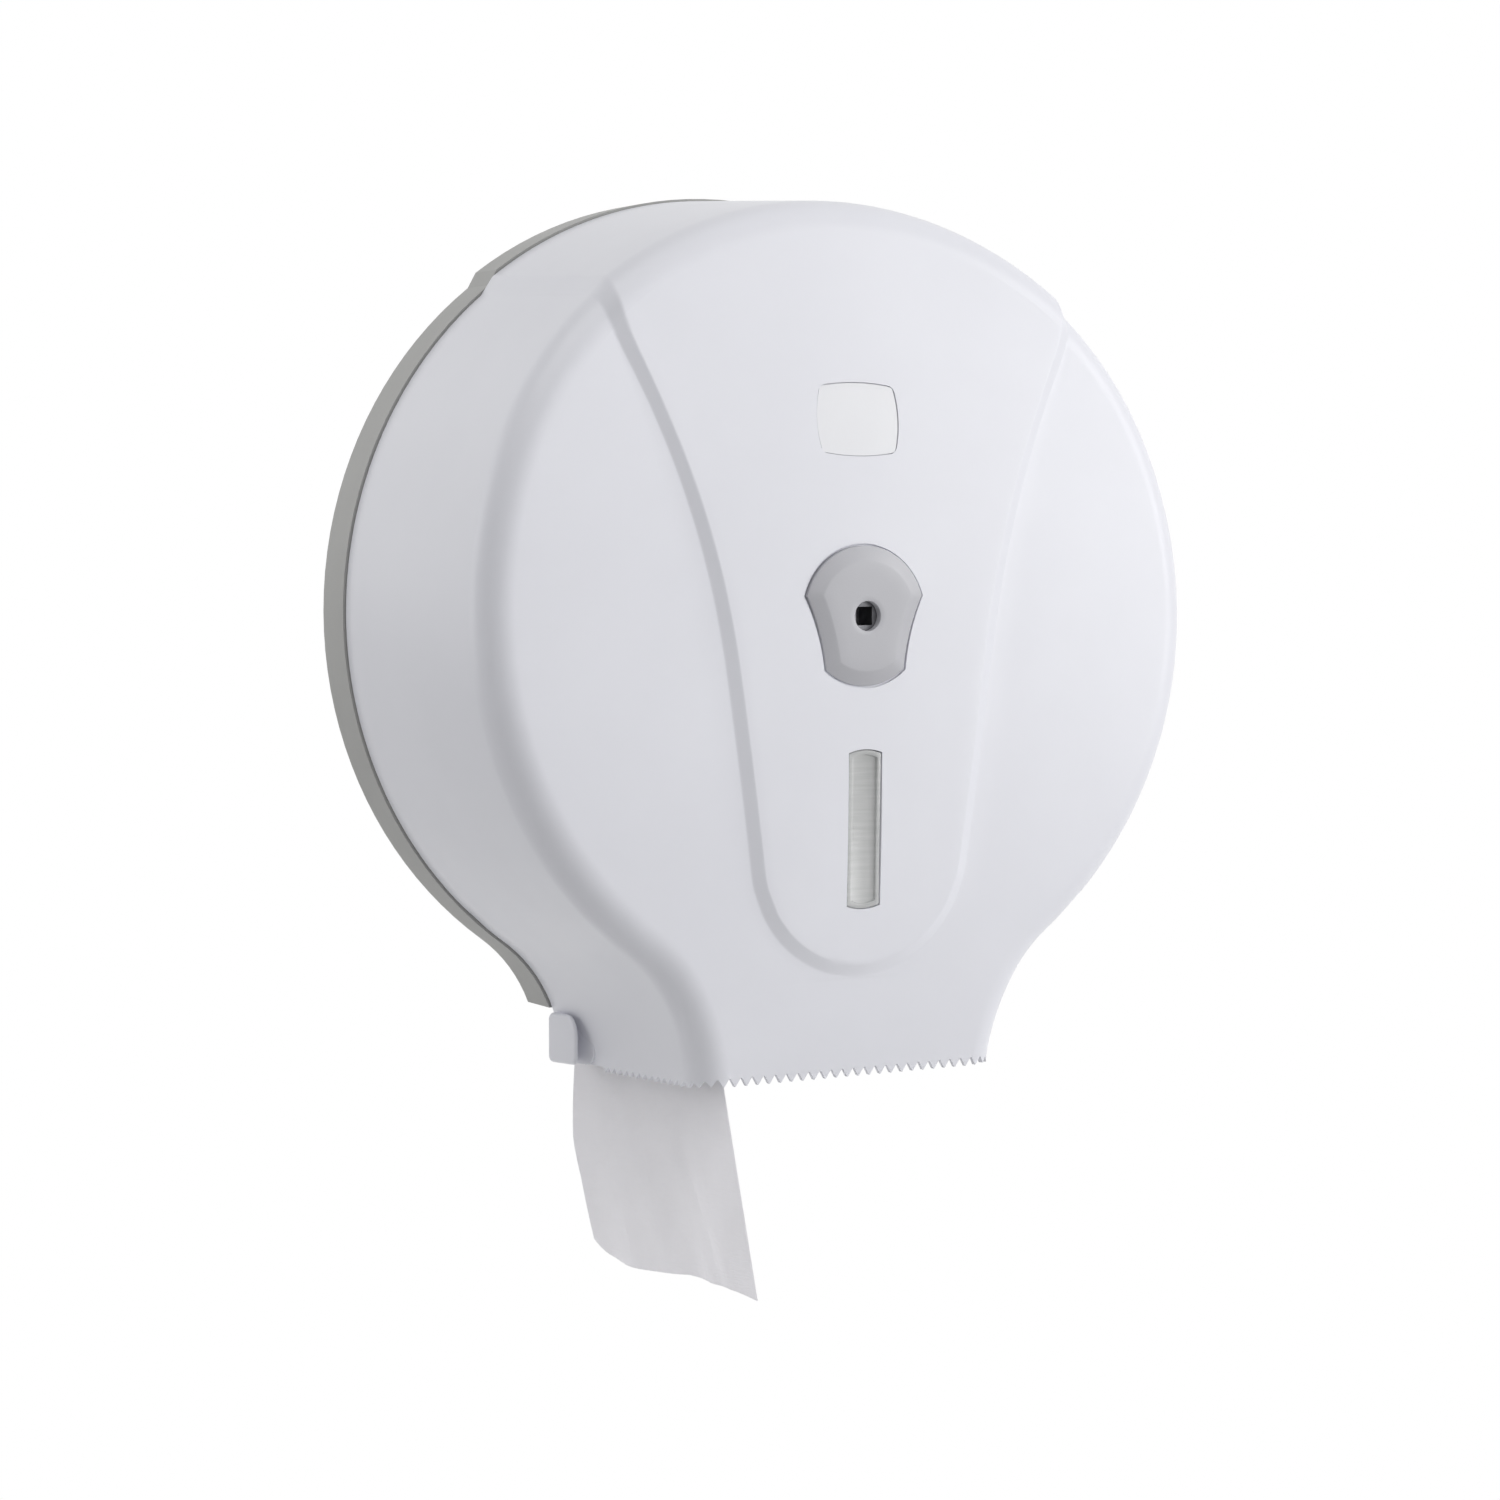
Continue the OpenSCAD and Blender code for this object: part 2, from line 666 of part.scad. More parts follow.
// Row of teeth along x that points down from y = 0 and is rooted in the wall above it
module teeth(len) {
    count = round(len / tooth_pitch);
    pitch = len / count;
    translate([0, 0, -tooth_t])
        linear_extrude(tooth_t)
            polygon(concat([[0, tooth_root], [0, 0]],
                [for (i = [0:count - 1]) each [[pitch * i + 0.15, 0], [pitch * (i + 0.5), -tooth_d],
                    [pitch * (i + 1) - 0.15, 0]]],
                [[len, 0], [len, tooth_root]]));
}

module rim_teeth() {
    zc = front_z(neck_half - edge_inset, -lip_drop + lip_slope * front_depth) - edge_r;
    oc = (zc - cover_z) * wall_lean + edge_r;
    r = edge_r - tooth_inset;
    front_half = neck_half - oc;
    front_y = rim_y(zc + edge_r);
    side_len = zc - teeth_from;
    corner_count = round(r * PI / 2 / tooth_pitch);
    translate([-front_half, front_y, zc + r])
        rotate([atan((-front_y - crown_drop) / crown_r), 0, 0]) teeth(2 * front_half);
    mirrored() {
        translate([-neck_half + tooth_inset + (teeth_from - cover_z) * wall_lean, rim_y(teeth_from),
            teeth_from])
            rotate([0, draft, 0]) rotate([-atan(lip_slope), 0, 0]) rotate([0, -90, 0]) teeth(side_len);
        for (i = [0:corner_count - 1]) {
            a = (i + 0.5) * 90 / corner_count;
            z = zc + r * sin(a);
            translate([-front_half - r * cos(a), rim_y(z), z])
                rotate([0, a - 90, 0]) translate([-tooth_pitch / 2, 0, 0]) teeth(tooth_pitch);
        }
    }
}

// Bulging outline shared by the badge and its recess
module badge_outline(grow) {
    w = badge_w / 2 + grow;
    h = badge_h / 2 + grow;
    top_bulge = 1.2;
    side_bulge = 1.6;
    rt = (w * w + top_bulge * top_bulge) / (2 * top_bulge);
    rs = (h * h + side_bulge * side_bulge) / (2 * side_bulge);
    intersection() {
        translate([0, h + top_bulge - rt]) circle(r = rt, $fn = 240);
        translate([0, -h - top_bulge + rt]) circle(r = rt, $fn = 240);
        translate([w + side_bulge - rs, 0]) circle(r = rs, $fn = 180);
        translate([-w - side_bulge + rs, 0]) circle(r = rs, $fn = 180);
    }
}

// Places something on the tongue at height y, with z out of its surface
module on_tongue(y) {
    translate([0, y, front_z(0, y) + tongue_h])
        rotate([-atan((y + crown_drop) / crown_r), 0, 0]) children();
}

module window_outline(grow) {
    w = window_w / 2 + grow;
    h = window_h / 2 + grow;
    bulge = 1.1;
    r = (w * w + bulge * bulge) / (2 * bulge);
    intersection() {
        square([2 * w, 2 * (h + bulge)], center = true);
        union() {
            square([2 * w + 1, 2 * h], center = true);
            for (s = [-1, 1]) translate([0, s * (h + bulge - r)]) circle(r = r, $fn = 96);
        }
    }
}

// Shield: a disc with a shallow bite out of each side
bite_r = 68.8;
bite_x = 83 * shield_r / 22.5;
bite_y = -24.4 * shield_r / 22.5;

module shield_outline(grow) {
    difference() {
        circle(r = shield_r + grow, $fn = 120);
        for (s = [-1, 1]) translate([s * bite_x, bite_y]) circle(r = bite_r - grow, $fn = 240);
    }
}

lock_boss_r = 26;
pocket_z = front_z(0, 0) + tongue_h - 1.5;
lock_boss_z = pocket_z - 4.2;
sleeve_r = 10;

// Ribs that tie the lock's boss to the front
boss_rib_len = 16;
boss_rib_t = 2;

module boss_ribs() {
    mid = lock_boss_r + boss_rib_len / 2;
    for (a = [45:90:315])
        rotate(a) translate([lock_boss_r - 1, -boss_rib_t / 2, lock_boss_z])
            cube([boss_rib_len, boss_rib_t,
                front_z(mid * cos(a), mid * sin(a)) + tongue_h - wall_t / 2 - lock_boss_z]);
}

module front_cover() {
    color(white) from_wall() {
        difference() {
            union() {
                cover_shell();
                translate([0, 0, lock_boss_z]) cylinder(r = lock_boss_r, h = pocket_z - lock_boss_z);
                boss_ribs();
                rim_teeth();
                mirrored() hinge_block();
            }
            translate([0, 0, lock_boss_z - 1]) cylinder(r = sleeve_r + seat_gap, h = 20);
            translate([0, 0, pocket_z]) linear_extrude(10) shield_outline(seat_gap);
            on_tongue(-window_drop) translate([0, 0, -10]) linear_extrude(20) window_outline(0.2);
            on_tongue(badge_rise) translate([0, 0, -badge_d]) linear_extrude(5) badge_outline(0.25);
            mirrored()
                translate([-block_x + 1.3, -hinge_drop, hinge_z]) rotate([0, 90, 0])
                    cylinder(r = pin_d / 2 + fit_gap, h = 20, $fn = 48);
        }
        lens_stakes();
    }
}

module badge_blank() {
    color(white) from_wall() on_tongue(badge_rise)
        translate([0, 0, -badge_d + 0.02]) linear_extrude(badge_d - 0.35) badge_outline(0);
}

// Clear window: a strip set back in the slot, on a wider flange that two stakes of the cover
// hold behind its front
lens_flange_t = 1.5;
lens_flange_gap = 0.7;
lens_set_back = 2;
stake_r = 1.2;
stake_head_r = 2;
stake_head_t = 0.7;
stake_y = window_h / 2 + 5.4;
lens_rear = -wall_t - lens_flange_gap - lens_flange_t;

module stake_places() {
    for (s = [-1, 1]) translate([0, s * stake_y, 0]) children();
}

module lens_stakes() {
    on_tongue(-window_drop) stake_places() {
        translate([0, 0, lens_rear - 0.1]) cylinder(r = stake_r, h = -lens_rear - 1, $fn = 32);
        translate([0, 0, lens_rear - 0.02 - stake_head_t])
            cylinder(r1 = stake_head_r - 0.4, r2 = stake_head_r, h = stake_head_t, $fn = 32);
    }
}

module window_lens() {
    color([0.85, 0.9, 0.92, 0.4]) from_wall() on_tongue(-window_drop) {
        translate([0, 0, lens_rear])
            linear_extrude(lens_flange_t)
                difference() {
                    union() {
                        window_outline(2.6);
                        stake_places() circle(r = 4, $fn = 48);
                    }
                    stake_places() circle(r = stake_r + fit_gap, $fn = 32);
                }
        translate([0, 0, lens_rear + lens_flange_t - eps])
            linear_extrude(wall_t + lens_flange_gap - lens_set_back + eps) window_outline(0);
    }
}

// ---- Lock ----
shield_base_h = 1.9;
shield_top_z = pocket_z + shield_base_h + bevel_h;
face_plate_t = 2.4;
barrel_front = shield_top_z - face_plate_t - 0.1;
sleeve_end = post_depth + 2;
neck_r = 3.4;
nut_t = 3;
nut_af = 28;

module lock_escutcheon() {
    color(shield_grey) from_wall()
        difference() {
            union() {
                difference() {
                    union() {
                        translate([0, 0, pocket_z + 0.02])
                            cylinder(r = shield_r, h = shield_base_h, $fn = 120);
                        translate([0, 0, pocket_z + shield_base_h])
                            cylinder(r1 = shield_r, r2 = shield_r - bevel_w, h = bevel_h, $fn = 120);
                    }
                    for (s = [-1, 1]) {
                        translate([s * bite_x, bite_y, pocket_z - 1])
                            cylinder(r = bite_r, h = shield_base_h + 1 + eps, $fn = 240);
                        translate([s * bite_x, bite_y, pocket_z + shield_base_h])
                            cylinder(r1 = bite_r, r2 = bite_r + bevel_w, h = bevel_h, $fn = 240);
                    }
                }
                translate([0, 0, sleeve_end]) cylinder(r = sleeve_r, h = pocket_z + 1 - sleeve_end);
            }
            translate([0, 0, sleeve_end - 1])
                cylinder(r = barrel_r + run_gap, h = shield_top_z - face_plate_t - sleeve_end + 1);
            cylinder(r = keyhole_r, h = 2 * front_depth, $fn = 48);
        }
}

module lock_nut() {
    color(grey) from_wall()
        translate([0, 0, lock_boss_z - nut_t - 0.02])
            difference() {
                cylinder(d = nut_af / cos(30), h = nut_t, $fn = 6);
                translate([0, 0, -1]) cylinder(r = sleeve_r + fit_gap, h = nut_t + 2);
            }
}

module lock_barrel() {
    color(dark) from_wall()
        difference() {
            union() {
                translate([0, 0, sleeve_end + 0.2])
                    cylinder(r = barrel_r, h = barrel_front - sleeve_end - 0.2);
                translate([0, 0, bolt_z + bolt_t])
                    cylinder(r = neck_r, h = sleeve_end + 1 - bolt_z - bolt_t);
            }
            translate([-socket_w / 2, -socket_w / 2, barrel_front - 8]) cube([socket_w, socket_w, 10]);
            translate([0, 0, bolt_z]) cylinder(r = 1.55, h = 9, $fn = 32);
        }
}

module lock_tongue() {
    color(steel) from_wall()
        translate([0, 0, bolt_z])
            linear_extrude(bolt_t - 0.02)
                difference() {
                    round_rect(bolt_w, bolt_len, 1.5);
                    circle(r = 1.7, $fn = 32);
                }
}

washer_t = 0.8;

module tongue_washer() {
    color(steel) from_wall()
        translate([0, 0, bolt_z - washer_t - 0.02])
            difference() {
                cylinder(r = 3.4, h = washer_t, $fn = 48);
                translate([0, 0, -1]) cylinder(r = 1.7, h = washer_t + 2, $fn = 32);
            }
}

module tongue_screw() {
    z = bolt_z - washer_t - 0.04;
    color(steel) from_wall()
        difference() {
            union() {
                translate([0, 0, z - 1.8]) cylinder(r = 2.9, h = 1.8, $fn = 48);
                translate([0, 0, z - eps]) cylinder(r = 1.5, h = 9.4, $fn = 32);
            }
            for (a = [0, 90])
                rotate(a) translate([-1.8, -0.35, z - 2.8]) cube([3.6, 0.7, 1.9]);
        }
}

// ---- Hinge pins ----
pin_head_r = 4;
pin_head_t = 1.1;

module hinge_pin() {
    head_x = ear_x - ear_t - seat_gap;
    translate([-head_x, -hinge_drop, hinge_z]) rotate([0, -90, 0]) {
        cylinder(d = pin_d, h = block_x - 1.6 - head_x, $fn = 48);
        translate([0, 0, -pin_head_t]) cylinder(r = pin_head_r, h = pin_head_t + eps, $fn = 48);
    }
}

module hinge_pin_left() {
    color(steel) from_wall() hinge_pin();
}

module hinge_pin_right() {
    color(steel) from_wall() mirror([1, 0, 0]) hinge_pin();
}

back_plate();
spindle_post();
spindle_screws();
hub_clip();
spindle_hub();
core_tube();
paper_roll();
paper_tail();
front_cover();
window_lens();
badge_blank();
lock_escutcheon();
lock_nut();
lock_barrel();
lock_tongue();
tongue_washer();
tongue_screw();
hinge_pin_left();
hinge_pin_right();
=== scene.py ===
"""Looks of the jumbo toilet roll dispenser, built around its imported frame.

Sizes are in millimetres in the wall frame that the part's source uses: x to the right, y up
and z out of the wall. wall_point() turns a point to the row frame, in metres.
"""
import math

import bmesh
import bpy
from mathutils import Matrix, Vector


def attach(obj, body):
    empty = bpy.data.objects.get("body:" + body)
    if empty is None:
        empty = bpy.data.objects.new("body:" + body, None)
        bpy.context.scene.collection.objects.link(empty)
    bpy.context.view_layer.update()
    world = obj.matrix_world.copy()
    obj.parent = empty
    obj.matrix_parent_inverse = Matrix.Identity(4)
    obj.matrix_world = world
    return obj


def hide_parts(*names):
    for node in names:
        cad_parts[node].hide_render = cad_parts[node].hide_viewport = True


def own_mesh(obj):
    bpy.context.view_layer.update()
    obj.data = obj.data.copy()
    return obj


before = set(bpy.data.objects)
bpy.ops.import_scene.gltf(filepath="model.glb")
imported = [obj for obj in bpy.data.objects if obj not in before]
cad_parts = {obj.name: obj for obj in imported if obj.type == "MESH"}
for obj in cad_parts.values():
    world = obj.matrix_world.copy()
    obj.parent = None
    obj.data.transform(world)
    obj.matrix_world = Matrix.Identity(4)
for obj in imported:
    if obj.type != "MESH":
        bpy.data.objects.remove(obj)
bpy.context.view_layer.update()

# ---- Sizes ----
# Most are those of the part's source. A few are finer and follow the real outline more closely.
DRUM_R = 137.2
WALL_T = 2.5
DRAFT = math.radians(2.85)
FRONT_DEPTH = 116.0
EDGE_R = 11.6
CROWN_R = 1080.0
CROSS_R = 3300.0
CROWN_DROP = 42.0
COVER_Z = 16.9

NECK_HALF = 59.3
NECK_DROP = 153.0
LIP_DROP = 153.0
LIP_SLOPE = 0.044
LIP_RISE = 1.5          # of the rim's last part, towards the front
LIP_RISE_FROM = FRONT_DEPTH - 13.0
LIP_RISE_RUN = 12.0

# The neck and the shoulders narrow less towards the front than the draft says
NECK_FULLER = 2.0
NECK_FULLER_TOP = 104.0
NECK_FULLER_RUN = 36.0
SIDE_FULLER = 1.0
SIDE_FULLER_AT = 37.0   # degrees above the level through the axis, and the spread about it
SIDE_FULLER_SPREAD = 17.0

TONGUE_H = 2.0
TONGUE_LIFT = 3.0       # of the top, at the rear edge
APEX_LIFT = 0.3         # what is left of it at the front, in the middle and at the shoulders
SHOULDER_LIFT = 2.4
LIFT_DEPTH = 80.0
TONGUE_W = 86.0
TONGUE_R = 36.6
TONGUE_DROP = 75.5
TONGUE_LEAN = math.radians(8.1)
LEAN_LEN = 67.0
FLARE_R = 300.0
RAMP_W = 4.8
LIFT_FROM = 60.0
LIFT_RUN = 40.0
RISE_RUN = 60.0
SHOULDER = 7.0          # rounding of the tongue's outline where it turns onto the side wall

SEAT_GAP = 0.3
SHIELD_R = 22.5
BEVEL_W = 4.8
BEVEL_H = 1.7
SHIELD_BASE_H = 1.9
BITE_R = 68.8
BITE_X = 83.0
BITE_Y = -24.4
KEYHOLE_R = 4.8
KEYHOLE_SOFT = 0.35
FACE_PLATE_T = 2.4
POCKET_DEPTH = 1.5      # of the shield's seat in the tongue
GROOVE_DEPTH = 0.7      # of the groove round the shield, below that seat
GROOVE_EXTRA = 0.42     # of that groove's width, beyond the seat's gap
SHIELD_SOFT = 0.35
SLEEVE_R = 10.0
BARREL_R = 6.0
POST_DEPTH = 101.5

WINDOW_W = 12.2
WINDOW_H = 49.2
WINDOW_DROP = 68.7
WINDOW_BULGE = 1.1
WINDOW_GAP = 0.2
BADGE_W = 27.0
BADGE_H = 21.0
BADGE_RISE = 63.0
BADGE_D = 1.1
BADGE_TOP_BULGE = 1.2
BADGE_SIDE_BULGE = 1.6
BADGE_CORNER = 1.6
BADGE_GAP = 0.25
THROUGH = 10.0          # reach of a cutter past what it cuts

TOOTH_PITCH = 4.15
TOOTH_D = 2.9
TOOTH_T = 1.5
TOOTH_INSET = 0.03
TOOTH_ROOT = 2.0
TOOTH_TIP = 0.12        # half of the flat at a tooth's tip
TOOTH_VALLEY = 0.2      # half of the flat between two teeth
SIDE_TOOTH = 0.62       # height of the side teeth as a share of the front ones
RIM_OVERLAP = 0.1
RIM_SOFT = 0.3          # rounding of the cover's rear rim

BLOCK_REAR_Z = COVER_Z + 0.4
BLOCK_FACE_Z = COVER_Z + 21.3
BLOCK_REAR_R = 2.4
BLOCK_PROUD = 5.4
BLOCK_LEN = 26.8
BLOCK_H = 17.0
BLOCK_MID = -144.3
BLOCK_TILT = 0.07
BLOCK_TOP_R = (10.5, 6.6)   # of the leading end's upper corner, at the wall and at the face
BLOCK_FOOT_R = (5.0, 2.8)
BLOCK_SCOOP = 3.4           # how much further forward the block ends at the wall than at its face
HOLLOW = 8.0                # how far the leading end is hollowed out between the two
# Distance from the wall of each ring of the block, and how far its outer edge is rounded there
BLOCK_RINGS = ((-1.6, 0.0), (0.0, 0.0), (0.25, 0.0), (0.6, 0.0), (1.1, 0.0), (1.7, 0.0), (2.4, 0.0),
               (3.0, 0.0), (3.5, 0.0), (3.9, 0.0), (4.2, 0.05), (4.4, 0.12), (4.8, 0.3), (5.1, 0.6),
               (5.33, 1.0), (BLOCK_PROUD, 1.5))
TEETH_FROM = BLOCK_REAR_Z + BLOCK_LEN + 2

BOSS_R = 26.0
BOSS_Z = 111.48
BOSS_BASE = BOSS_Z + 6.0
BOSS_SOFT = 0.5
BOSS_STEPS = 96
RIB_LEN = 15.0
RIB_T = 2.0
RIB_TOP = BOSS_Z + 0.3
RIB_SLOPE = (3.0, 2.2)      # length and height of the slope at a rib's end
IN_WALL = 1.0               # how far below the tongue's skin the boss and its ribs end
STAKE_OUT = 5.4
STAKE_R = 1.2
STAKE_HEAD_R = 1.8

# Values that follow from them
NECK_ARC_R = (NECK_HALF**2 + NECK_DROP**2 - DRUM_R**2) / (2 * (DRUM_R - NECK_HALF))
NECK_CX = NECK_HALF + NECK_ARC_R
TANGENT = math.atan2(NECK_DROP, NECK_CX)
WALL_LEAN = math.tan(DRAFT)
EDGE_INSET = (FRONT_DEPTH - EDGE_R - COVER_Z) * WALL_LEAN + EDGE_R
LEAN_Y0 = -TONGUE_DROP - TONGUE_R * math.sin(TONGUE_LEAN)
LEAN_X0 = TONGUE_R * math.cos(TONGUE_LEAN)
FLARE_Y0 = LEAN_Y0 + LEAN_LEN * math.cos(TONGUE_LEAN)
FLARE_X0 = LEAN_X0 + LEAN_LEN * math.sin(TONGUE_LEAN)
FLARE_CX = FLARE_X0 + FLARE_R * math.cos(TONGUE_LEAN)
FLARE_CY = FLARE_Y0 - FLARE_R * math.sin(TONGUE_LEAN)


def clamp(v, low=0.0, high=1.0):
    return max(low, min(high, v))


def mix(a, b, t):
    return a + (b - a) * t


def wall_point(x, y, z):
    return Vector((x, -z, y)) * 0.001


# ---- Objects ----
def mesh_from(name, points, faces):
    """Mesh object from points in the wall frame."""
    mesh = bpy.data.meshes.new(name)
    mesh.from_pydata([wall_point(*p) for p in points], [], faces)
    mesh.validate()
    mesh.update()
    obj = bpy.data.objects.new(name, mesh)
    bpy.context.scene.collection.objects.link(obj)
    return obj


def recalc_outward(obj):
    """Turns the faces of a closed mesh outwards."""
    bm = bmesh.new()
    bm.from_mesh(obj.data)
    bmesh.ops.recalc_face_normals(bm, faces=bm.faces)
    bm.to_mesh(obj.data)
    bm.free()


def smooth(obj, sharp_above=32):
    """Smooth shading, with the edges above that angle left sharp."""
    obj.data.polygons.foreach_set("use_smooth", [True] * len(obj.data.polygons))
    obj.data.set_sharp_from_angle(angle=math.radians(sharp_above))


def closed_mesh(name, points, faces, sharp_above=None):
    """Closed mesh object, smooth below that angle if one is given."""
    obj = mesh_from(name, points, faces)
    recalc_outward(obj)
    if sharp_above:
        smooth(obj, sharp_above)
    return obj


def cut(obj, cutter):
    """Takes the cutter's volume out of obj and deletes the cutter."""
    mod = obj.modifiers.new("cut", "BOOLEAN")
    mod.operation = "DIFFERENCE"
    mod.solver = "EXACT"
    mod.object = cutter
    depsgraph = bpy.context.evaluated_depsgraph_get()
    mesh = bpy.data.meshes.new_from_object(obj.evaluated_get(depsgraph))
    obj.modifiers.remove(mod)
    old = obj.data
    obj.data = mesh
    bpy.data.meshes.remove(old)
    bpy.data.objects.remove(cutter)


def prism(name, outline, z0, z1, placed=None):
    """Closed prism over an outline in x and y, from z0 to z1, placed by a function of a point."""
    n = len(outline)
    points = [(x, y, z) for z in (z0, z1) for x, y in outline]
    if placed:
        points = [placed(*p) for p in points]
    faces = [list(range(n))[::-1], list(range(n, 2 * n))]
    faces += [[i, (i + 1) % n, n + (i + 1) % n, n + i] for i in range(n)]
    return closed_mesh(name, points, faces)


def ring_faces(count, n, wrap=False):
    """Faces between neighbours of count rings, and from the last to the first with wrap."""
    return [[r * n + i, r * n + (i + 1) % n,
             (r + 1) % count * n + (i + 1) % n, (r + 1) % count * n + i]
            for r in range(count if wrap else count - 1) for i in range(n)]


def loft(name, rings, sharp_above, wrap=False):
    """Closed surface through rings that have as many points each, capped or, with wrap, joined."""
    n = len(rings[0])
    faces = ring_faces(len(rings), n, wrap)
    if not wrap:
        faces.append(list(range(n))[::-1])
        faces.append(list(range((len(rings) - 1) * n, len(rings) * n)))
    return closed_mesh(name, [p for ring in rings for p in ring], faces, sharp_above)


def arc(cx, cy, r, a0, a1, steps):
    """Points along an arc, with both ends, angles in radians."""
    return [(cx + r * math.cos(mix(a0, a1, i / steps)), cy + r * math.sin(mix(a0, a1, i / steps)))
            for i in range(steps + 1)]


def circle(r, steps):
    """Points round a circle about the origin, once each."""
    angles = (2 * math.pi * i / steps for i in range(steps))
    return [(r * math.cos(a), r * math.sin(a)) for a in angles]


# ---- Cover surface ----
def front_z(x, y):
    """Depth of the crowned front beside the tongue."""
    return FRONT_DEPTH - (y + CROWN_DROP)**2 / (2 * CROWN_R) - x * x / (2 * CROSS_R)


def tongue_half(y, g):
    """Half width of the tongue at height y, grown by g. Negative below the tongue."""
    if y < -TONGUE_DROP - TONGUE_R - g:
        return -1.0
    if y < LEAN_Y0:
        return math.sqrt(max(0.0, (TONGUE_R + g)**2 - (y + TONGUE_DROP)**2))
    if y < FLARE_Y0:
        return LEAN_X0 + g + (y - LEAN_Y0) * math.tan(TONGUE_LEAN)
    cap = TONGUE_W - RAMP_W / 2 + g
    flare = FLARE_CX - math.sqrt((FLARE_R - g)**2 - (y - FLARE_CY)**2)
    return min(cap, flare) - max(0.0, SHOULDER - abs(cap - flare))**2 / (4 * SHOULDER)


def eased(t, soft=0.14):
    """Straight ramp from 0 to 1 whose two ends are rounded over that share of it."""
    t = clamp(t)
    slope = 1 / (1 - soft)
    if t < soft:
        return slope * t * t / (2 * soft)
    if t > 1 - soft:
        return 1 - slope * (1 - t)**2 / (2 * soft)
    return slope * (t - soft / 2)


def tongue_share(x, y):
    """1 on the tongue, 0 beside it and between the two on its ramp."""
    if y < LEAN_Y0:
        return eased((TONGUE_R + RAMP_W - math.hypot(x, y + TONGUE_DROP)) / RAMP_W)
    return eased((tongue_half(y, RAMP_W) - abs(x)) / RAMP_W)


def lifted(x, y, z):
    """The tongue lifts the front outwards, less so near the rear edge, and the top upwards."""
    s = tongue_share(x, y)
    front_up = mix(APEX_LIFT, SHOULDER_LIFT, clamp(abs(x) / TONGUE_W)**2)
    up = mix(TONGUE_LIFT, front_up, clamp((z - COVER_Z) / LIFT_DEPTH))
    up *= eased((y - LIFT_FROM) / LIFT_RUN)
    out = clamp((z - COVER_Z) / RISE_RUN)
    return (x, y + s * up, z + s * TONGUE_H * out)


def on_tongue(y0):
    """Function that places a point at height y0 on the tongue, with z out of its surface."""
    tilt = -math.atan((y0 + CROWN_DROP) / CROWN_R)
    z0 = front_z(0, y0) + TONGUE_H

    def placed(x, y, z):
        return (x, y0 + y * math.cos(tilt) - z * math.sin(tilt),
                z0 + y * math.sin(tilt) + z * math.cos(tilt))
    return placed


# ---- Front cover ----
LOWEST_NECK_ROW = math.radians(172)


def neck_x(y, o):
    """Outline's x at height y beside the neck, moved in by o."""
    if y < -NECK_DROP:
        return NECK_HALF - o
    return NECK_CX - math.sqrt((NECK_ARC_R + o)**2 - (y + NECK_DROP)**2)


def rim_y(z):
    """Height of the lower rim at depth z."""
    return -LIP_DROP + LIP_SLOPE * z + LIP_RISE * eased((z - LIP_RISE_FROM) / LIP_RISE_RUN, 0.5)


def fuller(y, z):
    """How much less the case narrows towards the front than its draft says, at height y."""
    share = clamp((z - COVER_Z) / (FRONT_DEPTH - COVER_Z))
    angle = math.degrees(math.asin(clamp(y / DRUM_R, -1, 1)))
    neck = NECK_FULLER * eased((-NECK_FULLER_TOP - y) / NECK_FULLER_RUN, 0.5)
    side = SIDE_FULLER * math.exp(-((angle - SIDE_FULLER_AT) / SIDE_FULLER_SPREAD)**2)
    return share * (neck + side)


def row_point(row, o, z):
    """Right half of the outline of a row, moved in by o, at depth z."""
    kind, value = row
    if kind == "drum":
        o -= fuller(DRUM_R * math.sin(value), z)
        return ((DRUM_R - o) * math.cos(value), (DRUM_R - o) * math.sin(value))
    if kind == "neck":
        o -= fuller(-NECK_DROP + NECK_ARC_R * math.sin(value), z)
        r = NECK_ARC_R + o
        return (NECK_CX + r * math.cos(value), -NECK_DROP + r * math.sin(value))
    o -= fuller(-NECK_DROP, z)
    y_first = -NECK_DROP + (NECK_ARC_R + o) * math.sin(LOWEST_NECK_ROW)
    y = mix(rim_y(z), y_first, value)
    return (neck_x(y, o), y)


def row_for_height(y):
    """Row whose front edge lies at height y."""
    r = DRUM_R - EDGE_INSET
    if y > -r * math.sin(TANGENT):
        return ("drum", math.asin(y / r))
    return ("neck", math.pi - math.asin((y + NECK_DROP) / (NECK_ARC_R + EDGE_INSET)))


# Rows of the cover's mesh
LIP_ROWS = 4
ROUND_END_ANGLES = (0, 7, 14, 21, 29, 38, 48, 60, 75)
BOTTOM_ROWS = [-142.8 + 2.4 * i for i in range(10)]
LEAST_ROW_STEP = 0.35
NOTCH_ROWS = (math.radians(45.0), math.radians(54.0), 40)   # where the ramp crosses the side wall
BELOW_NOTCH = (math.radians(44.6), 52)
ABOVE_NOTCH = (math.radians(88.9), 24)

# Columns: up the wall, round the front edge, and over the front to the ramp, across it and on
WALL_STEPS = 9
EDGE_STEPS = 30
FRONT_STEPS = (14, 14, 12)
EDGE_COLS = WALL_STEPS + EDGE_STEPS + 1
SIDE_SPACING = 1.8      # above 1, the columns beside the edge are closer together


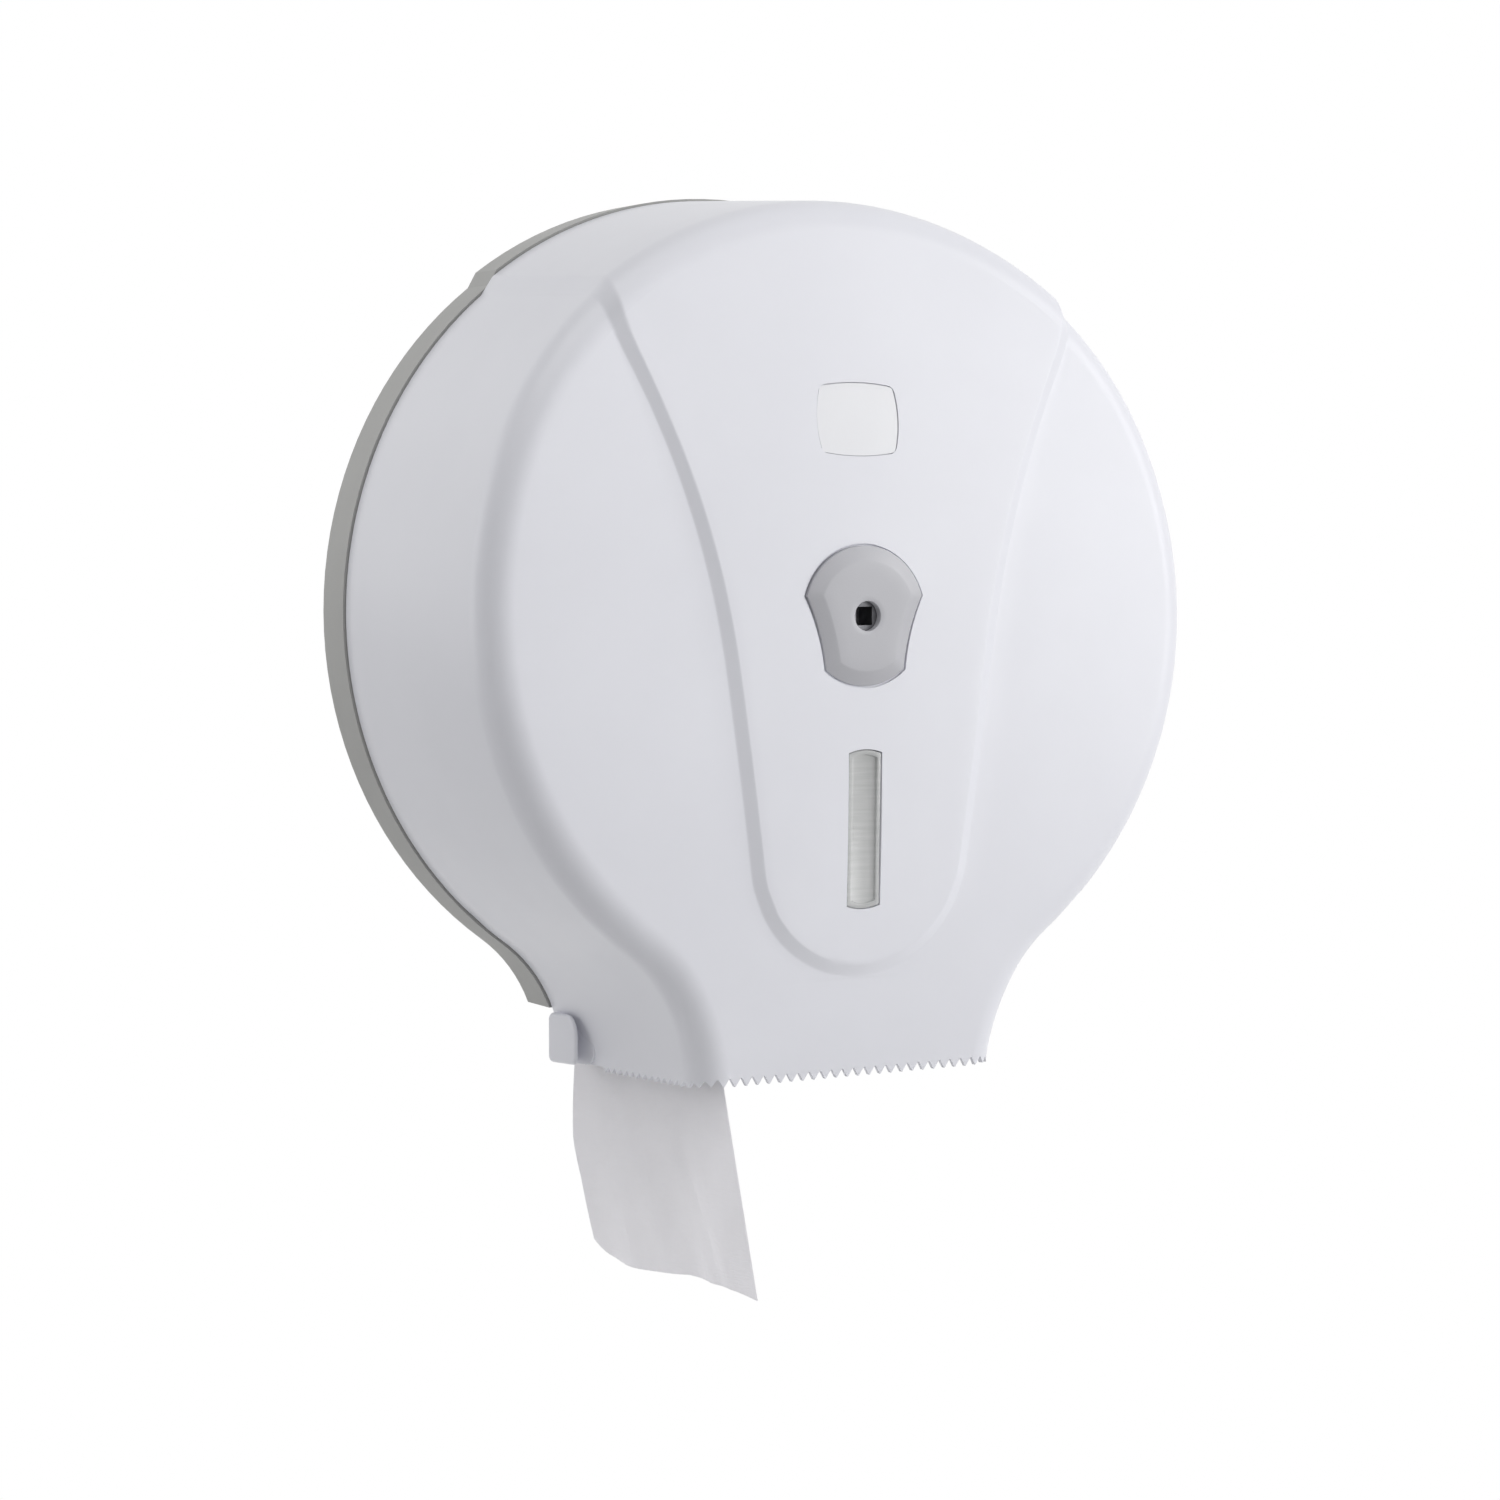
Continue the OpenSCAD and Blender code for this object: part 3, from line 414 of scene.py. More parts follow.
def cover_rows():
    """Rows from the lower rim to the apex, closer together where the tongue's ramp turns."""
    rows = [("lip", i / LIP_ROWS) for i in range(LIP_ROWS)]
    round_end = [-TONGUE_DROP - (TONGUE_R + g) * math.cos(math.radians(a))
                 for g in (RAMP_W, RAMP_W / 2, 0) for a in ROUND_END_ANGLES]
    kept = []
    for y in sorted(set(round(y, 1) for y in round_end + BOTTOM_ROWS)):
        if not kept or y - kept[-1] > LEAST_ROW_STEP:
            kept.append(y)
    rows += [row_for_height(y) for y in kept]
    start = rows[-1][1] if rows[-1][0] == "drum" else -TANGENT
    low_end, count = BELOW_NOTCH
    rows += [("drum", mix(start, low_end, (i + 1) / count)) for i in range(count)]
    notch_start, notch_end, count = NOTCH_ROWS
    rows += [("drum", mix(notch_start, notch_end, i / count)) for i in range(count + 1)]
    top, count = ABOVE_NOTCH
    rows += [("drum", mix(notch_end, top, (i + 1) / count)) for i in range(count)]
    return rows


def edge_circle(row):
    """Inset and depth of the centre of the front edge's rounding, and the front's slope there."""
    inset, slope, oc, zc = EDGE_INSET, 0.0, 0.0, 0.0
    step = 0.5
    for _ in range(6):      # each turn brings the rounding nearer to being tangent
        here, further = (row_point(row, inset + d, FRONT_DEPTH - 4) for d in (0.0, step))
        slope = math.atan2(front_z(*further) - front_z(*here), step)
        zc = front_z(*here) - EDGE_R * math.cos(slope)
        oc = (zc + EDGE_R * math.sin(DRAFT) - COVER_Z) * WALL_LEAN + EDGE_R * math.cos(DRAFT)
        inset = oc - EDGE_R * math.sin(slope)
    return oc, zc, slope


def half_row(row, t):
    """Half section of a row from the rear edge to the front's middle, t inside the outer skin."""
    oc, zc, slope = edge_circle(row)
    r = EDGE_R - t
    points = []
    for i in range(WALL_STEPS):
        z = mix(COVER_Z, zc, i / WALL_STEPS)
        points.append((*row_point(row, t + (z - COVER_Z) * WALL_LEAN, z), z))
    for i in range(EDGE_STEPS + 1):
        a = mix(DRAFT, math.pi / 2 - slope, i / EDGE_STEPS)
        z = zc + r * math.sin(a)
        points.append((*row_point(row, oc - r * math.cos(a), z), z))
    # Columns over the front follow the ramp's foot and head where the tongue is at this height
    xe, ye = points[-1][:2]
    h1, h0 = tongue_half(ye, RAMP_W), tongue_half(ye, 0)
    x1 = min(xe * 0.97, max(h1, 3.0) if h1 > 0 else xe * 0.5)
    x0 = min(x1 * 0.94, max(h0, x1 * 0.5) if h0 > 0 else x1 * 0.5)
    xs = []
    for steps, a, b in zip(FRONT_STEPS, (xe, x1, x0), (x1, x0, 0.0)):
        power = SIDE_SPACING if a == xe else 1.0
        xs += [mix(a, b, ((i + 1) / steps)**power) for i in range(steps)]
    for x in xs:
        y = rim_y(front_z(x, ye)) if row == ("lip", 0) else ye
        points.append((x, y, front_z(x, y) - t))
    return [lifted(*p) for p in points]


def cover_shell():
    """Outer and inner skin of the cover, joined along the rear and lower rims."""
    rows = cover_rows()
    halves = [[half_row(row, t) for row in rows] for t in (0.0, WALL_T)]
    points = []
    for skin in halves:
        for half in skin:
            points += [(-x, y, z) for x, y, z in half] + [p for p in reversed(half[:-1])]
    n, h = len(rows), len(halves[0][0])
    m = 2 * h - 1
    top, last = n - 1, m - 1

    def at(s, i, j):
        return (s * n + i) * m + j

    def skin_faces(s):
        faces = [[at(s, i, j), at(s, i + 1, j), at(s, i + 1, j + 1), at(s, i, j + 1)]
                 for i in range(top) for j in range(last)]
        # The apex is closed between the two halves of the top row
        faces += [[at(s, top, j), at(s, top, last - j), at(s, top, last - 1 - j), at(s, top, j + 1)]
                  for j in range(EDGE_COLS - 1)]
        faces.append([at(s, top, j) for j in range(EDGE_COLS - 1, last - EDGE_COLS + 2)][::-1])
        return faces

    faces = skin_faces(0) + [f[::-1] for f in skin_faces(1)]
    faces += [[at(0, 0, j), at(0, 0, j + 1), at(1, 0, j + 1), at(1, 0, j)] for j in range(last)]
    faces += [[at(0, i, 0), at(1, i, 0), at(1, i + 1, 0), at(0, i + 1, 0)] for i in range(top)]
    faces += [[at(0, i, last), at(0, i + 1, last), at(1, i + 1, last), at(1, i, last)]
              for i in range(top)]
    faces.append([at(0, top, 0), at(1, top, 0), at(1, top, last), at(0, top, last)])
    obj = closed_mesh("cover_shell", points, faces)
    round_rim(obj)
    return obj


def round_rim(obj):
    """Rounds the cover's rear rim."""
    bm = bmesh.new()
    bm.from_mesh(obj.data)
    rear = -(COVER_Z + 0.01) * 0.001
    rim = [e for e in bm.edges if len(e.link_faces) == 2 and e.calc_face_angle() > math.radians(60)
           and all(v.co.y > rear for v in e.verts)]
    bmesh.ops.bevel(bm, geom=rim, offset=RIM_SOFT * 0.001, segments=2, profile=0.5, affect="EDGES",
                    clamp_overlap=True)
    bm.to_mesh(obj.data)
    bm.free()


# ---- Outlines of the lock, the window and the badge ----
def circle_meets(r0, cx, cy, r1, upper):
    """Point where a circle about the origin meets one about (cx, cy)."""
    d = math.hypot(cx, cy)
    a = (r0 * r0 - r1 * r1 + d * d) / (2 * d)
    k = math.sqrt(r0 * r0 - a * a)
    ux, uy = cx / d, cy / d
    both = [(a * ux - k * uy * s, a * uy + k * ux * s) for s in (-1, 1)]
    return max(both, key=lambda p: p[1]) if upper else min(both, key=lambda p: p[1])


def shield_outline(grow, arc_steps=28, bite_steps=14):
    """Disc with a bite out of each side, counter-clockwise, always with as many points."""
    r, br = SHIELD_R + grow, BITE_R - grow
    hi = circle_meets(r, BITE_X, BITE_Y, br, True)
    lo = circle_meets(r, BITE_X, BITE_Y, br, False)
    a_hi, a_lo = math.atan2(hi[1], hi[0]), math.atan2(lo[1], lo[0])
    b_hi = math.atan2(hi[1] - BITE_Y, hi[0] - BITE_X) % (2 * math.pi)
    b_lo = math.atan2(lo[1] - BITE_Y, lo[0] - BITE_X) % (2 * math.pi)
    top = arc(0, 0, r, a_hi, math.pi - a_hi, arc_steps)
    right = arc(BITE_X, BITE_Y, br, b_lo, b_hi, bite_steps)
    left = [(-x, y) for x, y in reversed(right)]
    low = arc(0, 0, r, math.pi - a_lo, 2 * math.pi + a_lo, arc_steps // 2)
    return top + left[1:-1] + low + right[1:-1]


def window_outline(grow, steps=8):
    """Rectangle whose two short sides bulge."""
    w, h = WINDOW_W / 2 + grow, WINDOW_H / 2 + grow
    r = (w * w + WINDOW_BULGE**2) / (2 * WINDOW_BULGE)
    a = math.asin(w / r)
    top = arc(0, h + WINDOW_BULGE - r, r, math.pi / 2 - a, math.pi / 2 + a, steps)
    return top + [(-x, -y) for x, y in top]


def badge_outline(grow, steps=16):
    """Rectangle with four bulging sides and small round corners."""
    w, h = BADGE_W / 2 + grow, BADGE_H / 2 + grow
    rt = (w * w + BADGE_TOP_BULGE**2) / (2 * BADGE_TOP_BULGE)
    rs = (h * h + BADGE_SIDE_BULGE**2) / (2 * BADGE_SIDE_BULGE)
    a_top, a_side = math.asin((w - BADGE_CORNER) / rt), math.asin((h - BADGE_CORNER) / rs)
    right = arc(w + BADGE_SIDE_BULGE - rs, 0, rs, -a_side, a_side, steps)
    top = arc(0, h + BADGE_TOP_BULGE - rt, rt, math.pi / 2 - a_top, math.pi / 2 + a_top, steps)

    def corner(p, control, q):
        return [tuple(mix(mix(p[k], control[k], t), mix(control[k], q[k], t), t) for k in (0, 1))
                for t in (0.25, 0.5, 0.75)]

    cx, cy = w - 0.15, h - 0.15
    left_end = (-right[-1][0], right[-1][1])
    half = right + corner(right[-1], (cx, cy), top[0]) + top + corner(top[-1], (-cx, cy), left_end)
    return half + [(-x, -y) for x, y in half]


POCKET_Z = front_z(0, 0) + TONGUE_H - POCKET_DEPTH
POCKET_FLOOR = POCKET_Z - GROOVE_DEPTH


def make_cover():
    """Cover shell with the openings for the lock, the window and the badge."""
    obj = cover_shell()
    sleeve_hole = arc(0, 0, SLEEVE_R + SEAT_GAP, 0, 2 * math.pi, 64)[:-1]
    for outline, z0, z1, placed in (
            (shield_outline(SEAT_GAP + GROOVE_EXTRA), POCKET_FLOOR, POCKET_Z + THROUGH, None),
            (sleeve_hole, POCKET_Z - THROUGH, POCKET_Z + THROUGH, None),
            (window_outline(WINDOW_GAP), -THROUGH, THROUGH, on_tongue(-WINDOW_DROP)),
            (badge_outline(BADGE_GAP), -BADGE_D, THROUGH / 2, on_tongue(BADGE_RISE))):
        cut(obj, prism("cutter", outline, z0, z1, placed))
    smooth(obj)
    return obj


def rim_path():
    """Line that the teeth follow, left to right: x and z of each point and of its way outwards."""
    rim_row = ("lip", 0)
    oc, zc, slope = edge_circle(rim_row)
    r = EDGE_R - TOOTH_INSET
    side_steps, corner_steps, front_steps = 40, 24, 30

    def rim_x(o, z):
        return -row_point(rim_row, o, z)[0]

    side = [(rim_x(TOOTH_INSET + (z - COVER_Z) * WALL_LEAN, z), z, -1.0, 0.0)
            for z in (mix(TEETH_FROM, zc, i / side_steps) for i in range(side_steps))]
    corner = []
    for i in range(corner_steps):
        a = mix(DRAFT, math.pi / 2 - slope, i / corner_steps)
        z = zc + r * math.sin(a)
        corner.append((rim_x(oc - r * math.cos(a), z), z, -math.cos(a), math.sin(a)))
    end = rim_x(oc, zc + r)
    front = [(x, front_z(x, rim_y(zc + EDGE_R)) - TOOTH_INSET, 0.0, 1.0)
             for x in (mix(end, 0, i / front_steps) for i in range(front_steps + 1))]
    left = side + corner + front
    return left + [(-x, z, -nx, nz) for x, z, nx, nz in reversed(left[:-1])]


def make_teeth():
    """Serrated edge that runs round the lower rim, in the middle of the wall's thickness."""
    path = rim_path()
    lengths = [0.0]
    for a, b in zip(path, path[1:]):
        lengths.append(lengths[-1] + math.dist(a[:2], b[:2]))

    def on_path(d):
        i = max(k for k in range(len(path) - 1) if lengths[k] <= d + 1e-9)
        t = (d - lengths[i]) / (lengths[i + 1] - lengths[i])
        return [mix(a, b, t) for a, b in zip(path[i], path[i + 1])]

    count = round(lengths[-1] / TOOTH_PITCH)
    pitch = lengths[-1] / count
    # Each mark is a distance along the path and the depth of the edge there
    marks = [(0.0, 0.0)]
    for i in range(count):
        middle = pitch * (i + 0.5)
        marks += [(pitch * i + TOOTH_VALLEY, 0.0), (middle - TOOTH_TIP, TOOTH_D),
                  (middle + TOOTH_TIP, TOOTH_D), (pitch * (i + 1) - TOOTH_VALLEY, 0.0)]
    marks.append((lengths[-1], 0.0))
    lean = (-rim_y(FRONT_DEPTH) - CROWN_DROP) / CROWN_R
    points = []
    for d, drop in marks:
        x, z, nx, nz = on_path(min(d, lengths[-1] - 1e-6))
        drop *= mix(SIDE_TOOTH, 1.0, nz**8)
        for level in (-TOOTH_ROOT, drop):
            for deep in (0.0, TOOTH_T):
                back = deep + level * (lean * nz - WALL_LEAN * abs(nx))
                points.append((x - nx * back, rim_y(z) + RIM_OVERLAP - level, z - nz * back))
    faces = []
    for i in range(len(marks) - 1):
        a, b = 4 * i, 4 * (i + 1)
        faces += [[a, b, b + 2, a + 2], [a + 1, a + 3, b + 3, b + 1],
                  [a, a + 1, b + 1, b], [a + 2, b + 2, b + 3, a + 3]]
    e = 4 * (len(marks) - 1)
    faces += [[0, 2, 3, 1], [e, e + 1, e + 3, e + 2]]
    return closed_mesh("rim_teeth", points, faces, 20)


def make_lens():
    """Window moulding: a raised border round a panel, with its flange behind the cover."""
    placed = on_tongue(-WINDOW_DROP)
    # How far each ring lies outside the window's outline, and its height above the tongue
    profile = [(2.6, -4.7), (2.6, -3.25), (-0.12, -3.2), (-0.12, -0.75), (-0.2, -0.5),
               (-0.45, -0.4), (-1.35, -0.4), (-1.5, -0.45), (-1.7, -1.35), (-1.8, -1.4)]
    rings = [[placed(x, y, z) for x, y in window_outline(grow)] for grow, z in profile]
    return loft("window_lens_clear", rings, 30)


def in_wall(x, y, z):
    """Point at that depth, or in the tongue's wall where that is less deep."""
    return (x, y, min(z, front_z(x, y) + TONGUE_H - IN_WALL))


def make_lock_boss():
    """Ring behind the lock, with its four ribs, on the cover's inner face."""
    outer = circle(BOSS_R, BOSS_STEPS)
    bore = SLEEVE_R + SEAT_GAP
    inner = [(x * bore / BOSS_R, y * bore / BOSS_R) for x, y in outer]
    rings = []
    for line, z, grow in ((inner, BOSS_BASE, 0), (inner, BOSS_Z, 0), (outer, BOSS_Z, -BOSS_SOFT),
                          (outer, BOSS_Z + BOSS_SOFT, 0), (outer, BOSS_BASE, 0)):
        share = 1 + grow / BOSS_R
        rings.append([in_wall(x * share, y * share, z) for x, y in line])
    points = [p for ring in rings for p in ring]
    faces = ring_faces(len(rings), BOSS_STEPS, wrap=True)
    slope_len, slope_h = RIB_SLOPE
    rib_from, rib_to = BOSS_R - 1, BOSS_R + RIB_LEN
    rib = ((rib_from, RIB_TOP), (rib_to - slope_len, RIB_TOP), (rib_to, BOSS_Z + slope_h),
           (rib_to, BOSS_BASE), (rib_from, BOSS_BASE))
    for k in range(4):
        turn = math.radians(45 + 90 * k)
        c, s = math.cos(turn), math.sin(turn)
        first = len(points)
        points += [in_wall(d * c - w * s, d * s + w * c, z)
                   for d, z in rib for w in (-RIB_T / 2, RIB_T / 2)]
        faces += [[first + 2 * i for i in range(5)], [first + 2 * i + 1 for i in range(5)][::-1]]
        faces += [[first + 2 * i, first + 2 * i + 1,
                   first + (2 * i + 3) % 10, first + (2 * i + 2) % 10] for i in range(5)]
    return closed_mesh("lock_boss", points, faces, 30)


def make_lens_stake(side):
    """Heat stake that holds one end of the window's flange."""
    placed = on_tongue(-WINDOW_DROP)
    y0 = side * (WINDOW_H / 2 + STAKE_OUT)
    profile = [(STAKE_R, -1.2), (STAKE_R, -3.1), (STAKE_HEAD_R, -3.1), (STAKE_HEAD_R, -3.4),
               (STAKE_R, -3.9), (STAKE_R * 0.4, -4.0)]
    rings = [[placed(x, y0 + y, z) for x, y in circle(r, 24)] for r, z in profile]
    return loft("lens_stake_" + ("low" if side < 0 else "high"), rings, 40)


def make_escutcheon():
    """Shield with a bevelled rim, its key hole and the sleeve behind it."""
    z0 = POCKET_FLOOR + 0.02
    z1 = POCKET_Z + SHIELD_BASE_H
    z2 = z1 + BEVEL_H
    soft = SHIELD_SOFT
    outline_angles = [math.atan2(y, x) for x, y in shield_outline(0)]

    def ring(grow, z):
        return [(x, y, z) for x, y in shield_outline(grow)]

    def disc(r, z):
        return [(r * math.cos(a), r * math.sin(a), z) for a in outline_angles]

    sleeve_end = POST_DEPTH + 2
    bore_r, bore_end = BARREL_R + 0.06, z2 - FACE_PLATE_T
    sleeve = [disc(bore_r, bore_end), disc(bore_r, sleeve_end), disc(SLEEVE_R, sleeve_end),
              disc(SLEEVE_R, z0)]
    rim = [ring(-0.1, z0), ring(0, z0 + 0.1), ring(0, z1 - soft * 0.5), ring(-soft * 0.3, z1),
           ring(-soft * 1.1, z1 + soft * 0.4)]
    face = [ring(-BEVEL_W + soft * 1.6, z2 - soft * 0.55),
            ring(-BEVEL_W + soft * 0.6, z2 - soft * 0.2),
            ring(-BEVEL_W - soft * 0.9, z2), ring(-BEVEL_W - 4, z2)]
    keyhole = [disc(KEYHOLE_R + 2, z2), disc(KEYHOLE_R + KEYHOLE_SOFT, z2),
               disc(KEYHOLE_R + 0.1, z2 - 0.1), disc(KEYHOLE_R, z2 - KEYHOLE_SOFT),
               disc(KEYHOLE_R, bore_end)]
    return loft("lock_shield", sleeve + rim + face + keyhole, 28, wrap=True)


def make_hinge_block(side):
    """Rounded block on the neck's side, whose leading end is hollowed out between wall and face."""
    low, high = -BLOCK_H / 2, BLOCK_H / 2
    rear = BLOCK_REAR_Z + BLOCK_REAR_R
    rings = []
    for out, inset in BLOCK_RINGS:
        t = clamp(out / BLOCK_PROUD)
        front = (BLOCK_FACE_Z + BLOCK_SCOOP * (1 - t)**6
                 - HOLLOW * math.sin(math.pi * clamp(t / 0.8))**0.7)
        top_r, foot_r = mix(*BLOCK_TOP_R, t**0.5), mix(*BLOCK_FOOT_R, t**0.5)
        corners = ((front - top_r, high - top_r, top_r, 0),
                   (rear, high - BLOCK_REAR_R, BLOCK_REAR_R, 90),
                   (rear, low + BLOCK_REAR_R, BLOCK_REAR_R, 180),
                   (front - foot_r, low + foot_r, foot_r, 270))
        outline = []
        for cz, cy, r, a0 in corners:
            r -= min(inset, r * 0.8)
            outline += arc(cz, cy, r, math.radians(a0), math.radians(a0 + 90), 8)
        rings.append([(side * (NECK_HALF + out), BLOCK_MID + y + BLOCK_TILT * (z - BLOCK_REAR_Z), z)
                      for z, y in outline])
    return loft("hinge_block_" + ("left" if side < 0 else "right"), rings, 50)


# ---- Hanging paper ----
PAPER_Z = 10.9
PAPER_W = 93.0
ROLL_R = 104.0
SHEET_T = 0.22
EAR_GAP, EAR_T, WEB_GAP = 1.4, 2.8, 4.4
WEB_X = NECK_HALF - WALL_T - EAR_GAP - EAR_T - WEB_GAP
WEB_SKEW = 2.9
WEB_BELLY = 4.2         # keeps the web off the roll where the squash shortens it
WEB_R = ROLL_R + SEAT_GAP + 0.5
BEND_R = 34.0
BEND_DROP = 131.4
TAIL_LEN = 66.0
BEND_A = (math.atan2(BEND_DROP, WEB_X + BEND_R)
          - math.acos((WEB_R + BEND_R) / math.hypot(WEB_X + BEND_R, BEND_DROP)))
HANG_LEN = NECK_DROP + TAIL_LEN - BEND_DROP
FREE_LEN = HANG_LEN - NECK_DROP + BEND_DROP

# Hem: how low it hangs, and where along the width, as a share of it
HEM_DROP = 1.0
HEM_WAVE, HEM_WAVE_W = 2.2, 0.58
HEM_FRONT, HEM_FRONT_FROM, HEM_FRONT_W = 1.6, 0.84, 0.16
HEM_REAR, HEM_REAR_W = 3.2, 0.1

# Sides: the front one leans out from just above the outlet, the rear one bulges and then sweeps in
FRONT_LEAN, FRONT_LEAN_UP = 0.178, 6.0
REAR_BULGE, REAR_BULGE_LEN = 0.9, 42.0
REAR_SWEEP, REAR_SWEEP_FROM, REAR_SWEEP_RUN = 8.0, 27.0, 40.0

# Soft folds that run down the sheet: depth, waves over the width, drift, phase and fading power
FOLDS = ((1.4, 1.6, 0.22, 0.6, 1.0), (0.6, 3.7, -0.5, 2.1, 1.4))
CREASE, CREASE_AT, CREASE_DRIFT, CREASE_W, CREASE_POWER = 1.5, 0.62, 0.18, 0.04, 0.7


def web_point(u, s):
    """Point of the sheet between roll and bend's end, at share u of the width and s of the way."""
    bend_x, bend_y = -WEB_X - BEND_R, -BEND_DROP
    c, n = math.cos(BEND_A), math.sin(BEND_A)
    start = (-WEB_R * c, -WEB_R * n)
    end = (bend_x + BEND_R * c, bend_y + BEND_R * n)
    straight = math.dist(start, end)
    d = s * (straight + BEND_R * BEND_A)
    if d < straight:
        belly = WEB_BELLY * math.sin(math.pi * d / straight)
        x = mix(start[0], end[0], d / straight) - belly * c
        y = mix(start[1], end[1], d / straight) - belly * n
    else:
        a = BEND_A - (d - straight) / BEND_R
        x, y = bend_x + BEND_R * math.cos(a), bend_y + BEND_R * math.sin(a)
    return (x + WEB_SKEW * (2 * u - 1) * s, y, PAPER_Z + PAPER_W * u)


def hang_point(u, s):
    """Point of the hanging part, at share u of the width from the rear and s of its length."""
    hem = HEM_DROP + HEM_WAVE * math.sin(math.pi * clamp(u / HEM_WAVE_W))
    hem += HEM_FRONT * clamp((u - HEM_FRONT_FROM) / HEM_FRONT_W)**1.5
    hem -= HEM_REAR * (1 - clamp(u / HEM_REAR_W))**2.4
    y = -BEND_DROP - s * (HANG_LEN + hem)
    below = max(0.0, -y - NECK_DROP)
    front = -WEB_X + WEB_SKEW + FRONT_LEAN * max(0.0, -y - NECK_DROP + FRONT_LEAN_UP)
    rear = -WEB_X - WEB_SKEW - REAR_BULGE * math.sin(math.pi * clamp(below / REAR_BULGE_LEN))
    rear += REAR_SWEEP * clamp((below - REAR_SWEEP_FROM) / REAR_SWEEP_RUN)**1.3
    free = below / FREE_LEN
    off_crease = (u - CREASE_AT - CREASE_DRIFT * free) / CREASE_W
    fold = CREASE * math.exp(-off_crease**2) * free**CREASE_POWER
    for depth, waves, drift, phase, power in FOLDS:
        fold += depth * math.sin(2 * math.pi * (waves * u + drift * free) + phase) * free**power
    fold *= math.sin(math.pi * u)**0.6
    return (mix(rear, front, u**1.15) + fold, y, PAPER_Z + PAPER_W * u)


def make_tail():
    """The paper's free end as one closed sheet, from the roll to the hem."""
    cols, web_rows, hang_rows = 62, 30, 60
    rows = [[web_point(c / cols, r / web_rows) for c in range(cols + 1)] for r in range(web_rows)]
    rows += [[hang_point(c / cols, r / hang_rows) for c in range(cols + 1)]
             for r in range(hang_rows + 1)]
    n = cols + 1
    points = [(x + t, y, z) for t in (0.0, SHEET_T) for row in rows for x, y, z in row]
    half = len(points) // 2
    faces = []
    for r in range(len(rows) - 1):
        for c in range(cols):
            a = r * n + c
            faces.append([a, a + n, a + n + 1, a + 1])
            faces.append([half + a, half + a + 1, half + a + n + 1, half + a + n])
    last = (len(rows) - 1) * n
    rim = list(range(n)) + [r * n + cols for r in range(1, len(rows))]
    rim += [last + c for c in range(cols - 1, -1, -1)]
    rim += [r * n for r in range(len(rows) - 2, 0, -1)]
    faces += [[a, b, half + b, half + a] for a, b in zip(rim, rim[1:] + rim[:1])]
    return closed_mesh("paper_sheet", points, faces, 60)


# ---- Materials ----
class Nodes:
    """Short calls for a material's node tree."""

    def __init__(self, name):
        self.material = bpy.data.materials.new(name)
        self.material.use_nodes = True
        self.tree = self.material.node_tree
        self.shader = self.tree.nodes["Principled BSDF"]

    def add(self, kind, **values):
        """New node with those settings, or values of its inputs."""
        node = self.tree.nodes.new(kind)
        for key, value in values.items():
            if hasattr(node, key):
                setattr(node, key, value)
            else:
                node.inputs[key.replace("_", " ").title()].default_value = value
        return node

    def link(self, a, b):
        self.tree.links.new(a, b)

    def drive(self, socket, source):
        """Links a source to that socket of the shader."""
        self.link(source, self.shader.inputs[socket])

    def set(self, **values):
        """Sets inputs of the shader."""
        for key, value in values.items():
            self.shader.inputs[key.replace("_", " ")].default_value = value

    def coords(self):
        return self.add("ShaderNodeTexCoord").outputs["Object"]

    def noise(self, scale, detail=3.0, stretch=None):
        """Noise over the object's own coordinates, scale in waves per metre."""
        node = self.add("ShaderNodeTexNoise", scale=scale, detail=detail)
        source = self.coords()
        if stretch:
            mapping = self.add("ShaderNodeMapping")
            mapping.inputs["Scale"].default_value = stretch
            self.link(source, mapping.inputs["Vector"])
            source = mapping.outputs["Vector"]
        self.link(source, node.inputs["Vector"])
        return node.outputs["Fac"]

    def ramp(self, fac, low, high, start=0.35, end=0.65):
        """Colour that varies from low to high with fac."""
        node = self.add("ShaderNodeValToRGB")
        node.color_ramp.elements[0].position = start
        node.color_ramp.elements[0].color = (*low, 1)
        node.color_ramp.elements[1].position = end
        node.color_ramp.elements[1].color = (*high, 1)
        self.link(fac, node.inputs["Fac"])
        return node.outputs["Color"]

    def spread(self, fac, low, high):
        """fac mapped from 0..1 to low..high."""
        node = self.add("ShaderNodeMapRange", to_min=low, to_max=high)
        self.link(fac, node.inputs["Value"])
        return node.outputs["Result"]

    def bump(self, height, distance, strength=1.0, onto=None):
        """Normal bent by a height, distance in metres, on top of another bump if one is given."""
        node = self.add("ShaderNodeBump", distance=distance, strength=strength)
        self.link(height, node.inputs["Height"])
        if onto:
            self.link(onto, node.inputs["Normal"])
        return node.outputs["Normal"]


def plastic(name, low, high, roughness, grain=900, grain_depth=0.00001, wave_depth=0.00004):
    """Moulded plastic: faint colour drift, uneven gloss, fine grain and slow waves."""
    m = Nodes(name)
    m.drive("Base Color", m.ramp(m.noise(14), low, high))
    m.drive("Roughness", m.spread(m.noise(60), roughness - 0.04, roughness + 0.05))
    fine = m.bump(m.noise(grain, 2), grain_depth)
    m.drive("Normal", m.bump(m.noise(22, 1), wave_depth, onto=fine))
    return m.material


def metal(name, low, high, roughness):
    """Plated or cast metal with an uneven, slightly rough surface."""
    m = Nodes(name)
    m.set(Metallic=1.0)
    m.drive("Base Color", m.ramp(m.noise(300, 4), low, high))
    m.drive("Roughness", m.spread(m.noise(800), roughness - 0.08, roughness + 0.1))
    m.drive("Normal", m.bump(m.noise(1500, 2), 0.000008))
    return m.material


